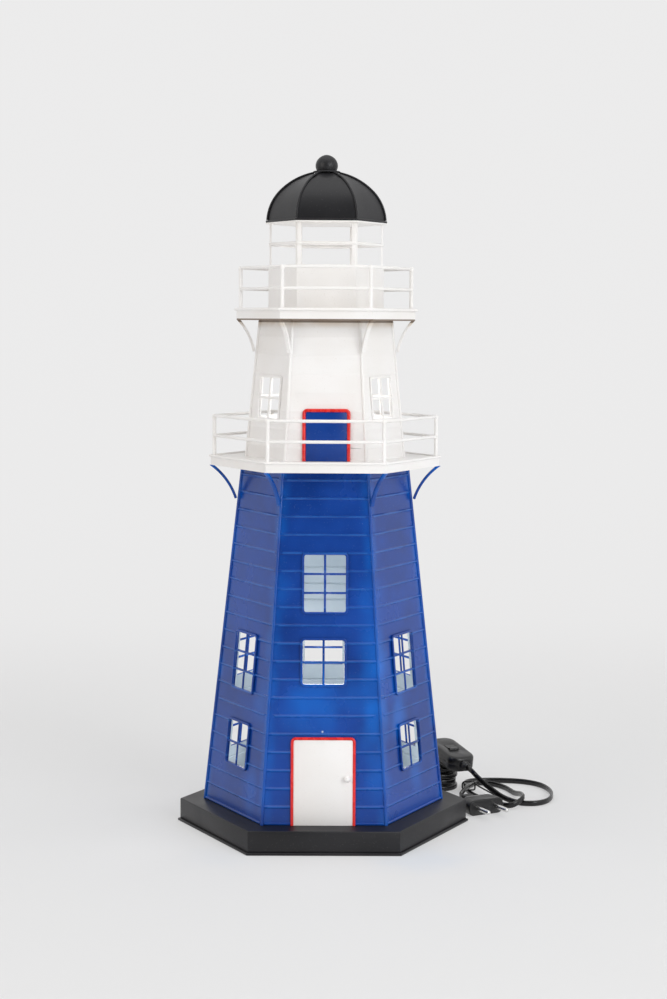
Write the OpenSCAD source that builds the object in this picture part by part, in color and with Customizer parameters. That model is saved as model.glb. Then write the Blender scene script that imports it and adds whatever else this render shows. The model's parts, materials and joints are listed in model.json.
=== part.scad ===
// Six-sided sheet-metal lighthouse with a light inside, two railed galleries and a domed lantern.
// Origin at the centre of the foot, +Z up, the door side faces -Y.

/* [Base tray] */
// Corner radius of the base tray
base_r = 122; // [116:1:140]
// Height of the base tray
base_h = 21; // [20:1:30]
// Thickness of the tray's sheet
base_sheet = 1; // [0.8:0.1:1.5]
// Diameter of the rolled hem round the tray's foot
hem_d = 2.4; // [1.6:0.2:3.2]
// Diameter of the opening in the tray's top that the lamp stands in
lamp_opening_d = 54; // [50:1:60]

/* [Lower tower] */
// Corner radius of the lower tower at its foot
tower_foot_r = 100.8; // [92:0.4:108]
// Corner radius of the lower tower at its top
tower_top_r = 69.3; // [64:0.1:76]
// Height of the lower tower
tower_h = 290.3; // [270:0.1:320]
// Thickness of the tower's sheet
tower_sheet = 1; // [0.9:0.1:1.2]
// Height of one pressed board
board_pitch = 14.6; // [14:0.1:16]
// Diameter of the pressed bead between two boards
board_bead_d = 1.7; // [1.2:0.1:2]
// Plain margin between a bead's end and the panel's corner
board_margin = 3.2; // [2.6:0.2:6]
// Diameter of the seam bead on the tower's corners
seam_d = 3.4; // [2.6:0.2:4]

/* [Upper tower] */
// Corner radius of the upper tower at its foot
upper_foot_r = 67; // [62:0.5:72]
// Corner radius of the upper tower at its top
upper_top_r = 55; // [50:0.5:60]
// Height of the upper tower
upper_h = 120.5; // [110:0.5:130]

/* [Windows] */
// Clear width of the lower tower's windows
window_w = 33.6; // [28:0.2:38]
// Clear height of the three-row windows
tall_window_h = 46; // [42:0.5:50]
// Clear height of the two-row windows
low_window_h = 35.4; // [30:0.2:38]
// Clear width of the upper tower's windows
upper_window_w = 32; // [28:0.5:34]
// Clear height of the upper tower's windows
upper_window_h = 30.6; // [26:0.2:34]
// Width of the bead frame round a window
frame_w = 2; // [1.6:0.1:2.6]
// How far the bead frame stands proud of the panel
frame_proud = 2; // [1.4:0.1:2.4]
// Width of a glazing bar
bar_w = 1.9; // [1.4:0.1:2.4]
// Thickness of a glazing bar
bar_t = 1.2; // [0.8:0.1:1.6]
// Height of the front three-row window's centre above the base
front_tall_z = 194.2; // [188:0.2:200]
// Height of the front two-row window's centre above the base
front_low_z = 130.5; // [124:0.5:136]
// Height of the other three-row windows' centres above the base
side_tall_z = 124; // [118:0.5:132]
// Height of the other two-row windows' centres above the base
side_low_z = 55.6; // [48:0.2:60]
// Height of the upper windows' centres above the gallery floor
upper_window_z = 49.4; // [42:0.2:60]

/* [Doors] */
// Overall width of the lower door's frame
door_w = 52.6; // [46:0.2:58]
// Overall height of the lower door's frame
door_h = 70; // [62:0.5:74]
// Width of the lower door's frame bead
door_frame_w = 2.4; // [1.8:0.1:3]
// Thickness of a door leaf
door_leaf_t = 1.2; // [0.8:0.1:1.6]
// How far the door frames stand proud of the panel
door_frame_t = 2.2; // [1.7:0.1:2.6]
// Radius of the rounded top corners of the door frames
door_corner_r = 4; // [3:0.5:6]
// Diameter of the door knob
knob_d = 5; // [4:0.5:6]
// Overall width of the upper door's frame
upper_door_w = 39; // [34:0.5:44]
// Overall height of the upper door's frame
upper_door_h = 42.6; // [36:0.2:50]
// Width of the upper door's frame bead
upper_door_frame_w = 2.8; // [2:0.1:3.4]

/* [Galleries] */
// Corner radius of the lower gallery
gallery_r = 95.8; // [90:0.2:104]
// Height of the lower gallery's band
gallery_band_h = 7.5; // [6:0.5:10]
// Corner radius of the upper gallery
upper_gallery_r = 74.4; // [70:0.2:80]
// Height of the upper gallery's band
upper_band_h = 7.9; // [6:0.1:10]
// Thickness of the galleries' sheet
gallery_sheet = 1; // [0.8:0.1:1.4]
// How far the lip stands out from the band
lip_out = 1.5; // [1:0.1:2.2]
// Thickness of the lip
lip_t = 1.3; // [1:0.1:1.8]
// Corner radius of the well through the lower gallery's floor
gallery_well_r = 50; // [40:1:58]
// Corner radius of the well through the upper gallery's floor
upper_well_r = 40; // [32:1:44]
// Height of the lower rail above its floor
rail_h = 33.8; // [28:0.2:40]
// Height of the lower gallery's middle rail above its floor
mid_rail_h = 17.2; // [12:0.2:20]
// Height of the upper rail above its floor
upper_rail_h = 35.1; // [28:0.1:40]
// Height of the upper gallery's middle rail above its floor
upper_mid_rail_h = 17.9; // [12:0.1:20]
// Diameter of the rail posts
post_d = 3.2; // [3.1:0.1:4]
// Diameter of the rails
rail_d = 2.6; // [2:0.1:2.6]
// Distance from the band's corner in to a post's axis
post_inset = 2.7; // [2.2:0.1:4]

/* [Brackets] */
// Height that a lower bracket drops below the gallery's band
bracket_drop = 33; // [26:0.5:40]
// Height that an upper bracket drops below the gallery's band
upper_bracket_drop = 26; // [20:0.5:32]
// Width of the bracket strip
bracket_w = 3.2; // [2.4:0.1:4]
// Thickness of the bracket strip
bracket_t = 2.2; // [1.6:0.1:2.8]

/* [Lantern] */
// Corner radius of the lantern's drum
drum_r = 48.1; // [46:0.1:52]
// Height of the lantern's drum
drum_h = 37.5; // [32:0.5:42]
// Thickness of the drum's sheet
drum_sheet = 0.8; // [0.6:0.1:1.2]
// Height of the lantern from the gallery floor to the ceiling
lantern_h = 71.4; // [66:0.2:80]
// Width of a leg of the corner posts
lantern_post_w = 3; // [2.4:0.1:4]
// Thickness of the corner posts
lantern_post_t = 0.9; // [0.6:0.1:1.2]
// Height of the middle of the ring bar above the gallery floor
ring_z = 53.2; // [46:0.2:60]
// Height of the ring bar
ring_h = 3.2; // [2.4:0.1:4]
// Thickness of the ceiling plate
ceiling_t = 1.2; // [0.8:0.1:1.6]

/* [Dome] */
// Radius of the dome's arc along a corner
dome_r = 49.2; // [47:0.1:53]
// Height of the dome's rim above the centre of its arc
dome_rise = 8; // [6:0.2:10]
// Thickness of the dome's sheet
dome_sheet = 0.9; // [0.7:0.1:1.2]
// Diameter of the dome's corner ribs
dome_rib_d = 1.8; // [1.4:0.1:2.4]
// Height of the band round the dome's rim
rim_h = 1.8; // [1.2:0.1:2.4]
// Width of the band round the dome's rim
rim_w = 1.7; // [1.4:0.1:2.2]
// Diameter of the collar under the finial
collar_d = 23; // [19:0.5:26]
// Thickness of the collar
collar_t = 1.6; // [1.2:0.1:2.4]
// Diameter of the finial
finial_d = 18.6; // [15:0.2:21]
// Height of the finial above its collar
finial_h = 12.4; // [9:0.2:16]

/* [Lamp] */
// Height of the lampholder
holder_h = 48; // [44:1:52]
// Outer diameter of the lampholder
holder_d = 28; // [26:0.5:32]
// Diameter of the bulb's ball
bulb_d = 45; // [40:0.5:46]
// Overall length of the bulb with its cap
bulb_len = 75; // [72:0.5:78]
// Diameter of the bulb's screw cap
cap_d = 13.9; // [13.5:0.1:14.2]
// Length of the bulb's screw cap
cap_len = 21; // [19:0.5:22]
// Width of the bracket that carries the lampholder
lamp_bracket_w = 16; // [14:0.5:20]
// Thickness of the bracket that carries the lampholder
lamp_bracket_t = 1.2; // [1:0.1:1.6]
// Depth that the bracket drops below the tray's top
lamp_bracket_drop = 7; // [5:0.5:8]
// Diameter of the bracket's screws
lamp_screw_d = 3; // [2.5:0.5:4]
// Length of the bracket's screws
lamp_screw_len = 7; // [6:0.5:10]
// Distance from the bracket's legs out to its screws
lamp_screw_out = 6; // [5:0.5:8]
// Diameter of the threaded tube through the bracket
nipple_d = 10; // [9:0.5:11]

/* [Cord, switch and plug] */
// Width of the flat cord
cord_w = 5; // [4.6:0.1:5]
// Thickness of the flat cord
cord_t = 3.1; // [2.8:0.1:3.2]
// Diameter of the gland's flange
gland_d = 16; // [14:0.5:17]
// Length of the gland's tapered tail
gland_tail = 22; // [20:1:24]
// Length of the switch's case
switch_len = 52; // [48:1:54]
// Width of the switch's case
switch_w = 26; // [22:0.5:28]
// Thickness of the switch's case
switch_t = 14; // [13:0.5:14]
// Radius of the corners of the switch's case
switch_corner_r = 6; // [4:0.5:8]
// Length of the switch's rocker
rocker_len = 12; // [10:0.5:12]
// Width of the switch's rocker
rocker_w = 9; // [7:0.5:12]
// Clearance round the rocker
rocker_gap = 0.3; // [0.2:0.05:0.4]
// Width of the plug's face
plug_w = 35.3; // [33:0.1:37]
// Thickness of the plug's body
plug_t = 13.7; // [12:0.1:14]
// Length of the plug's body with its tail
plug_len = 36; // [34:0.5:38]
// Distance between the plug's pins
pin_spacing = 18.6; // [17.5:0.1:19]
// Diameter of the plug's pins
pin_d = 4; // [3.8:0.1:4.2]
// Length of the plug's pins
pin_len = 19; // [17:0.5:20]

/* [Hidden] */
$fn = 48;

blue = [0.05, 0.28, 0.62];
white = [0.95, 0.94, 0.92];
red = [0.86, 0.14, 0.11];
black = [0.13, 0.13, 0.14];
steel = [0.75, 0.75, 0.77];
opal = [0.97, 0.96, 0.93];

// Ratio of a hexagon's apothem to its corner radius
APO = cos(30);
// Directions of the six faces' normals: front, front right, rear right, rear, rear left, front left
FRONT = -90;
// Room between parts that slide into each other
FIT = 0.15;
// Depth that a bent strip beds into the round bead it is soldered to
BED = 0.03;
// Hair gap between the dome's gores, which keeps them separate sheets
MITRE = 0.02;
// Overlap that makes a cut run clear of a face
CUT = 1;

// Levels
tower_z = base_h;
deck_z = tower_z + tower_h + gallery_sheet;
upper_deck_z = deck_z + upper_h + gallery_sheet;
ceiling_z = upper_deck_z + lantern_h;
dome_z = ceiling_z + ceiling_t;
dome_centre_z = dome_z - dome_rise;
crown_r = 7;
crown_z = dome_centre_z + sqrt(pow(dome_r, 2) - pow(crown_r / APO, 2));
collar_z = crown_z + 0.2;

// Each window or door cut is [centre across, centre up, width, height, rows]
function front_windows() = [
  [0, front_tall_z, window_w, tall_window_h, 3],
  [-0.9, front_low_z, window_w, low_window_h, 2]
];
function side_windows() = [
  [0, side_tall_z, window_w, tall_window_h, 3],
  [0, side_low_z, window_w, low_window_h, 2]
];
function upper_windows() = [[0, upper_window_z, upper_window_w, upper_window_h, 2]];
door_x = -0.8;
upper_door_x = 0.5;
function door_block() = [door_x, door_h / 2 - CUT, door_w, door_h + 2 * CUT];
function upper_door_block() = [upper_door_x, upper_door_h / 2 - CUT, upper_door_w, upper_door_h + 2 * CUT];

// Lean of a face, from its apothem at the foot and at the top
function lean(foot_r, top_r, h) = atan((foot_r - top_r) * APO / h);

// Stands a flat shape on the face at this angle: x runs along the face, y up it, z out of it
module on_face(angle, foot_r, top_r, z, h)
  rotate([0, 0, angle])
    translate([foot_r * APO, 0, z])
      rotate([0, -lean(foot_r, top_r, h), 0])
        rotate([90, 0, 90])
          children();

// The sixth of the plan that belongs to one face
module face_sector(angle, z, h, reach)
  rotate([0, 0, angle])
    translate([0, 0, z])
      linear_extrude(h)
        polygon([[0, 0], [reach * APO, -reach / 2], [reach * APO, reach / 2]]);

module plate(x0, y0, z0, w, h, t)
  translate([x0, y0, z0]) cube([w, h, t]);

// Stretches of a bead at height y that stay clear of the blocks [x, y, w, h]
function bead_runs(y, half, blocks, grow) =
  let (hit = [for (b = blocks) if (abs(y - b[1]) < b[3] / 2 + grow + board_bead_d / 2) b])
    len(hit) == 0
      ? [[-half, half]]
      : [[-half, hit[0][0] - hit[0][2] / 2 - grow], [hit[0][0] + hit[0][2] / 2 + grow, half]];

// One sheet panel with its pressed boards, cut to its sector and pierced for its windows
module board_panel(angle, foot_r, top_r, z, h, windows, doors) {
  len_up = h / cos(lean(foot_r, top_r, h));
  beads = floor((len_up - board_pitch * 0.6) / board_pitch);
  intersection() {
    face_sector(angle, z, h, foot_r * 1.1);
    on_face(angle, foot_r, top_r, z, h)
      difference() {
        union() {
          plate(-foot_r * 0.6, -foot_r * 0.1, -tower_sheet, foot_r * 1.2, len_up + foot_r * 0.2, tower_sheet);
          for (k = [1:beads]) {
            y = k * board_pitch - 1.6;
            half = (foot_r + (top_r - foot_r) * y / len_up) / 2 - board_margin;
            for (run = concat(
              [for (r = bead_runs(y, half, windows, frame_w)) if (len(doors) == 0 || y > doors[0][3]) r],
              [for (r = bead_runs(y, half, doors, 0)) if (len(doors) > 0 && y <= doors[0][3]) r]
            ))
              translate([run[0], y, board_bead_d / 2 - tower_sheet])
                rotate([0, 90, 0])
                  cylinder(d = board_bead_d, h = run[1] - run[0], $fn = 24);
          }
        }
        for (w = windows)
          plate(w[0] - w[2] / 2, w[1] - w[3] / 2, -tower_sheet - CUT, w[2], w[3], tower_sheet + 3 * CUT);
      }
  }
}

// A bead frame with its glazing bars, lying on its panel
module window_frame(w) {
  difference() {
    plate(w[0] - w[2] / 2 - frame_w, w[1] - w[3] / 2 - frame_w, 0,
      w[2] + 2 * frame_w, w[3] + 2 * frame_w, frame_proud);
    plate(w[0] - w[2] / 2, w[1] - w[3] / 2, -CUT, w[2], w[3], frame_proud + 2 * CUT);
  }
  plate(w[0] - bar_w / 2, w[1] - w[3] / 2, 0, bar_w, w[3], bar_t);
  for (k = [1:w[4] - 1])
    plate(w[0] - w[2] / 2, w[1] - w[3] / 2 + w[3] * k / w[4] - bar_w / 2, 0, w[2], bar_w, bar_t);
}

// Rounded seam beads on the six corners of a tower
module corner_seams(foot_r, top_r, z, h)
  for (k = [0:5])
    rotate([0, 0, k * 60])
      difference() {
        intersection() {
          translate([foot_r, 0, z])
            rotate([0, -atan((foot_r - top_r) / h), 0])
              translate([0, 0, -seam_d]) cylinder(d = seam_d, h = h * 1.05, $fn = 24);
          translate([top_r - 2 * seam_d, -2 * seam_d, z])
            cube([foot_r - top_r + 4 * seam_d, 4 * seam_d, h]);
        }
        intersection_for(side = [-30, 30])
          on_face(side, foot_r, top_r, z, h)
            plate(-foot_r, -seam_d, -foot_r / 2, 2 * foot_r, h * 1.1, foot_r / 2);
      }

// Outline of a door with rounded top corners, standing on y = 0
module door_outline(w, h, r) {
  translate([-w / 2, 0]) square([w, h - r]);
  translate([-w / 2 + r, 0]) square([w - 2 * r, h]);
  for (s = [-1, 1]) translate([s * (w / 2 - r), h - r]) circle(r);
}

module door_frame_on_panel(x, w, h, bead)
  translate([x, 0, 0])
    linear_extrude(door_frame_t)
      difference() {
        door_outline(w, h, door_corner_r);
        translate([0, -CUT]) door_outline(w - 2 * bead, h - bead + CUT, door_corner_r - bead + 0.6);
      }

module door_leaf_on_panel(x, w, h, bead)
  translate([x, 0, 0])
    linear_extrude(door_leaf_t)
      door_outline(w - 2 * bead, h - bead, door_corner_r - bead + 0.6);

// Cuts what stands below the floor that a leaning piece stands on
module above(z) difference() {
  children();
  translate([-2 * base_r, -2 * base_r, z - base_h]) cube([4 * base_r, 4 * base_r, base_h]);
}

module base_tray() color(black) {
  skirt = base_sheet / APO;
  difference() {
    cylinder(r = base_r, h = base_h, $fn = 6);
    translate([0, 0, -CUT])
      cylinder(r = base_r - skirt, h = base_h - base_sheet + CUT, $fn = 6);
    cylinder(d = lamp_opening_d, h = base_h + CUT);
    for (s = [-1, 1])
      translate([s * lamp_screw_x, 0, 0]) cylinder(d = lamp_screw_d + 2 * FIT, h = base_h + CUT);
    translate([0, base_r * APO + CUT, gland_z])
      rotate([90, 0, 0]) cylinder(r = gland_neck_r + FIT, h = base_sheet + 3 * CUT);
  }
  // Rolled hem, mitred at the corners
  for (k = [0:5])
    intersection() {
      face_sector(k * 60 + 30, 0, hem_d, base_r + 20);
      rotate([0, 0, k * 60 + 30])
        translate([base_r * APO + hem_d * 0.3, 0, hem_d / 2])
          rotate([90, 0, 0]) cylinder(d = hem_d, h = base_r + 20, center = true, $fn = 24);
    }
}

module tower_panel(k)
  color(blue)
    board_panel(FRONT + 60 * k, tower_foot_r, tower_top_r, tower_z, tower_h,
      k == 0 ? front_windows() : side_windows(), k == 0 ? [door_block()] : []);

module tower_seams() color(blue) corner_seams(tower_foot_r, tower_top_r, tower_z, tower_h);

module tower_windows(which)
  color(blue)
    for (k = [0:5])
      on_face(FRONT + 60 * k, tower_foot_r, tower_top_r, tower_z, tower_h)
        window_frame((k == 0 ? front_windows() : side_windows())[which]);

module on_front() on_face(FRONT, tower_foot_r, tower_top_r, tower_z, tower_h) children();

module tower_door()
  color(white) above(tower_z) on_front() door_leaf_on_panel(door_x, door_w, door_h, door_frame_w);

module tower_door_frame()
  color(red) above(tower_z) on_front() door_frame_on_panel(door_x, door_w, door_h, door_frame_w);

module tower_door_knob()
  color(white)
    on_front()
      translate([door_x + door_w / 2 - 6.8, door_h * 0.53, door_leaf_t]) {
        cylinder(d = knob_d * 0.5, h = knob_d * 0.5);
        translate([0, 0, knob_d * 0.6]) sphere(d = knob_d, $fn = 32);
      }

// An upturned hexagonal pan with a lip round its floor and a well through it
module deck(r, z, band_h, well_r) {
  wall = gallery_sheet / APO;
  difference() {
    union() {
      translate([0, 0, z - band_h]) cylinder(r = r, h = band_h, $fn = 6);
      translate([0, 0, z - lip_t]) cylinder(r = r + lip_out / APO, h = lip_t, $fn = 6);
    }
    translate([0, 0, z - band_h - CUT])
      cylinder(r = r - wall, h = band_h - gallery_sheet + CUT, $fn = 6);
    translate([0, 0, z - band_h]) cylinder(r = well_r, h = band_h + CUT, $fn = 6);
  }
}

// Curved strips from the band's corners down to the tower's corner seams
module brackets(r, band_z, drop, seat_r) {
  reach = r - gallery_sheet - seat_r;
  arc_r = (pow(reach, 2) + pow(drop, 2)) / (2 * reach);
  turn = atan2(drop, arc_r - reach);
  for (k = [0:5])
    rotate([0, 0, k * 60])
      difference() {
        translate([seat_r + arc_r, 0, band_z - drop])
          rotate([90, 0, 0])
            rotate([0, 0, 180 - turn - 8])
              rotate_extrude(angle = turn + 8, $fn = 96)
                translate([arc_r - bracket_t / 2, -bracket_w / 2]) square([bracket_t, bracket_w]);
        translate([seat_r - bracket_w, -bracket_w, band_z]) cube([2 * reach, 2 * bracket_w, drop]);
      }
}

function radius_at(foot_r, top_r, h, z) = foot_r + (top_r - foot_r) * z / h;

module rail_posts(r, z, h)
  for (k = [0:5])
    rotate([0, 0, k * 60]) translate([r, 0, z]) cylinder(d = post_d, h = h + rail_d / 2);

// Six straight rods between the posts
module rail_bars(r, z)
  for (k = [0:5])
    rotate([0, 0, k * 60])
      difference() {
        translate([r, 0, z]) rotate([0, 0, 120]) rotate([0, 90, 0]) cylinder(d = rail_d, h = r);
        for (a = [0, 60])
          rotate([0, 0, a]) translate([r, 0, z - rail_d]) cylinder(d = post_d, h = 2 * rail_d);
      }

gallery_post_r = gallery_r - post_inset;
upper_post_r = upper_gallery_r - post_inset;

module gallery_deck() color(white) deck(gallery_r, deck_z, gallery_band_h, gallery_well_r);

module gallery_brackets()
  color(blue)
    brackets(gallery_r, deck_z - gallery_band_h, bracket_drop,
      radius_at(tower_foot_r, tower_top_r, tower_h, tower_h + gallery_sheet - gallery_band_h - bracket_drop)
        + (seam_d + bracket_t) / 2 - BED);

module gallery_posts() color(white) rail_posts(gallery_post_r, deck_z, rail_h);
module gallery_mid_rail() color(white) rail_bars(gallery_post_r, deck_z + mid_rail_h);
module gallery_top_rail() color(white) rail_bars(gallery_post_r, deck_z + rail_h);

module upper_panel(k)
  color(white)
    board_panel(FRONT + 60 * k, upper_foot_r, upper_top_r, deck_z, upper_h,
      k == 0 ? [] : upper_windows(), k == 0 ? [upper_door_block()] : []);

module upper_seams() color(white) corner_seams(upper_foot_r, upper_top_r, deck_z, upper_h);

module upper_window_frames()
  color(white)
    for (k = [1:5])
      on_face(FRONT + 60 * k, upper_foot_r, upper_top_r, deck_z, upper_h)
        window_frame(upper_windows()[0]);

module on_upper_front() on_face(FRONT, upper_foot_r, upper_top_r, deck_z, upper_h) children();

module upper_door()
  color(blue)
    above(deck_z)
      on_upper_front() door_leaf_on_panel(upper_door_x, upper_door_w, upper_door_h, upper_door_frame_w);

module upper_door_frame()
  color(red)
    above(deck_z)
      on_upper_front() door_frame_on_panel(upper_door_x, upper_door_w, upper_door_h, upper_door_frame_w);

module upper_gallery_deck() color(white) deck(upper_gallery_r, upper_deck_z, upper_band_h, upper_well_r);

module upper_gallery_brackets()
  color(white)
    brackets(upper_gallery_r, upper_deck_z - upper_band_h, upper_bracket_drop,
      radius_at(upper_foot_r, upper_top_r, upper_h, upper_h + gallery_sheet - upper_band_h - upper_bracket_drop)
        + (seam_d + bracket_t) / 2 - BED);

module upper_gallery_posts() color(white) rail_posts(upper_post_r, upper_deck_z, upper_rail_h);
module upper_gallery_mid_rail() color(white) rail_bars(upper_post_r, upper_deck_z + upper_mid_rail_h);
module upper_gallery_top_rail() color(white) rail_bars(upper_post_r, upper_deck_z + upper_rail_h);

module hex_ring(r, wall, z, h)
  translate([0, 0, z])
    difference() {
      cylinder(r = r, h = h, $fn = 6);
      translate([0, 0, -CUT]) cylinder(r = r - wall / APO, h = h + 2 * CUT, $fn = 6);
    }

lantern_post_r = drum_r - drum_sheet / APO;

module lantern_drum() color(white) hex_ring(drum_r, drum_sheet, upper_deck_z, drum_h);

// Angle strips that stand in the drum's corners and carry the ceiling
module lantern_posts()
  color(white)
    for (k = [0:5])
      intersection() {
        hex_ring(lantern_post_r, lantern_post_t, upper_deck_z, lantern_h);
        rotate([0, 0, k * 60])
          translate([lantern_post_r - lantern_post_w * 1.5, -lantern_post_w * APO, 0])
            cube([lantern_post_w * 2, lantern_post_w * 2 * APO, ceiling_z]);
      }

module lantern_ring()
  color(white)
    hex_ring(lantern_post_r - lantern_post_t / APO, lantern_post_t, upper_deck_z + ring_z - ring_h / 2, ring_h);

module lantern_ceiling()
  color(white)
    translate([0, 0, ceiling_z]) cylinder(r = rim_r, h = ceiling_t, $fn = 6);

dome_foot_r = sqrt(pow(dome_r, 2) - pow(dome_rise, 2));
rim_r = dome_foot_r + rim_w / APO;
DOME_STEPS = 22;

// Half section of the dome across a face, from the rim to the crown
function dome_arc(r) =
  let (a0 = asin(dome_rise / r), a1 = acos(crown_r / APO / r))
    [for (i = [0:DOME_STEPS]) let (a = a0 + (a1 - a0) * i / DOME_STEPS) [r * cos(a) * APO, r * sin(a)]];

// Six curved gores of sheet, mitred along the ribs
module dome_gores()
  color(black) {
    outer = dome_arc(dome_r);
    inner = dome_arc(dome_r - dome_sheet);
    for (k = [0:5])
      intersection() {
        rotate([0, 0, k * 60 + 30])
          translate([2 * MITRE, 0, 0]) face_sector(0, dome_z, dome_r + 5, dome_r + 10);
        rotate([0, 0, k * 60 + 30])
          translate([0, dome_r, dome_centre_z])
            rotate([90, 0, 0])
              linear_extrude(2 * dome_r)
                polygon(concat(outer, [for (i = [DOME_STEPS:-1:0]) inner[i]]));
      }
  }

// Half-round wires over the mitres, from the rim to the collar
module dome_ribs()
  color(black) {
    rib_r = dome_r + dome_rib_d / 2;
    a0 = asin((dome_rise + rim_h + dome_rib_d / 2) / rib_r);
    a1 = acos((collar_d / 2 - 3.4) / rib_r);
    for (k = [0:5])
      rotate([0, 0, k * 60])
        translate([0, 0, dome_centre_z])
          rotate([90, 0, 0])
            rotate([0, 0, a0])
              rotate_extrude(angle = a1 - a0, $fn = 96)
                translate([rib_r, 0]) circle(d = dome_rib_d, $fn = 16);
  }

module dome_rim() color(black) hex_ring(rim_r, rim_w, dome_z, rim_h);

// Turned finial: a neck in the crown, a domed collar and a bullet
module finial()
  color(black) {
    steps = 12;
    seat = collar_z + dome_rib_d;
    translate([0, 0, crown_z - 4]) cylinder(r = crown_r - 0.1, h = seat - crown_z + 4 + collar_t / 2);
    rotate_extrude()
      polygon(concat(
        [[0, seat], [collar_d / 2 - 0.4, seat], [collar_d / 2, seat + 0.5], [collar_d / 2 - 0.6, seat + collar_t]],
        [for (i = [0:steps])
          let (a = 90 * i / steps)
            [finial_d / 2 * pow(cos(a), 0.8), seat + collar_t + finial_h * (0.16 + 0.84 * pow(sin(a), 1.15))]]
      ));
  }

// Lamp: a dropped strip under the tray's top carries the holder on a threaded tube
bracket_top_z = base_h - base_sheet;
bracket_web_z = bracket_top_z - lamp_bracket_drop;
bracket_leg_x = lamp_opening_d / 2 + lamp_screw_d;
lamp_screw_x = bracket_leg_x + lamp_screw_out;
bracket_end_x = lamp_screw_x + lamp_screw_d * 1.6;
holder_z = bracket_web_z + lamp_bracket_t;
cap_z = holder_z + holder_h - cap_len;
bulb_top_z = cap_z + bulb_len;
nipple_bore_r = 3.4;
nut_h = 3;
nipple_z = bracket_web_z - nut_h - 1;
nipple_in_holder = 9;

module lamp_bracket() color(steel) difference() {
  translate([0, lamp_bracket_w / 2, 0])
    rotate([90, 0, 0])
      linear_extrude(lamp_bracket_w)
        polygon([
          [-bracket_end_x, bracket_top_z], [-bracket_leg_x, bracket_top_z],
          [-bracket_leg_x, holder_z], [bracket_leg_x, holder_z],
          [bracket_leg_x, bracket_top_z], [bracket_end_x, bracket_top_z],
          [bracket_end_x, bracket_top_z - lamp_bracket_t],
          [bracket_leg_x + lamp_bracket_t, bracket_top_z - lamp_bracket_t],
          [bracket_leg_x + lamp_bracket_t, bracket_web_z],
          [-bracket_leg_x - lamp_bracket_t, bracket_web_z],
          [-bracket_leg_x - lamp_bracket_t, bracket_top_z - lamp_bracket_t],
          [-bracket_end_x, bracket_top_z - lamp_bracket_t]
        ]);
  cylinder(d = nipple_d + 2 * FIT, h = base_h);
  for (s = [-1, 1]) translate([s * lamp_screw_x, 0, 0]) cylinder(d = lamp_screw_d + 2 * FIT, h = base_h);
}

module lamp_screws()
  color(steel)
    for (s = [-1, 1])
      translate([s * lamp_screw_x, 0, base_h]) {
        cylinder(d = lamp_screw_d * 2, h = lamp_screw_d * 0.6);
        translate([0, 0, -lamp_screw_len]) cylinder(d = lamp_screw_d, h = lamp_screw_len);
        translate([0, 0, -base_sheet - lamp_bracket_t - lamp_screw_d * 0.8])
          cylinder(d = lamp_screw_d * 2.1, h = lamp_screw_d * 0.8, $fn = 6);
      }

module lamp_nipple() color(steel) translate([0, 0, nipple_z]) difference() {
  cylinder(d = nipple_d, h = holder_z + nipple_in_holder - nipple_z);
  translate([0, 0, -CUT]) cylinder(r = nipple_bore_r, h = holder_z + nipple_in_holder - nipple_z + 2 * CUT);
}

module lamp_nut() color(steel) translate([0, 0, bracket_web_z - nut_h]) difference() {
  cylinder(d = nipple_d * 1.55, h = nut_h, $fn = 6);
  translate([0, 0, -CUT]) cylinder(d = nipple_d, h = nut_h + 2 * CUT);
}

module lampholder()
  color(black)
    rotate_extrude()
      polygon([
        [nipple_d / 2, holder_z], [holder_d / 2 - 2, holder_z], [holder_d / 2 - 1.6, holder_z + 11],
        [holder_d / 2, holder_z + 14], [holder_d / 2, holder_z + holder_h - 1],
        [holder_d / 2 - 1, holder_z + holder_h], [cap_d / 2 + FIT, holder_z + holder_h],
        [cap_d / 2 + FIT, cap_z], [3, cap_z], [3, holder_z + nipple_in_holder],
        [nipple_d / 2, holder_z + nipple_in_holder]
      ]);

module bulb_cap() color(steel) translate([0, 0, cap_z]) {
  translate([0, 0, 2]) cylinder(d = cap_d, h = cap_len - 2);
  cylinder(d1 = cap_d * 0.5, d2 = cap_d * 0.85, h = 2);
}

module bulb_glass()
  color(opal)
    rotate_extrude()
      polygon(concat(
        [[0, cap_z + cap_len], [cap_d / 2, cap_z + cap_len]],
        [for (a = [-56:8:88]) [bulb_d / 2 * cos(a), bulb_top_z - bulb_d / 2 + bulb_d / 2 * sin(a)]],
        [[0, bulb_top_z]]
      ));

// Cord geometry: a flat cord stands on its edge, so it bends round the thin way
gland_z = 10.5;
gland_neck_r = 5.8;
gland_face_y = base_r * APO;
gland_flange = 2.4;
cord_exit = [0, gland_face_y + gland_flange + gland_tail, gland_z];

module cord_gland()
  color(black)
    translate([0, gland_face_y, gland_z])
      rotate([-90, 0, 0])
        rotate_extrude()
          polygon([
            [cord_w / 2, -base_sheet - 3], [gland_d / 2 - 1, -base_sheet - 3], [gland_d / 2 - 1, -base_sheet],
            [gland_neck_r, -base_sheet], [gland_neck_r, 0], [gland_d / 2, 0],
            [gland_d / 2, gland_flange - 0.8], [gland_d / 2 - 0.8, gland_flange],
            [5, gland_flange], [3.4, gland_flange + gland_tail], [cord_w / 2, gland_flange + gland_tail]
          ]);

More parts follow.
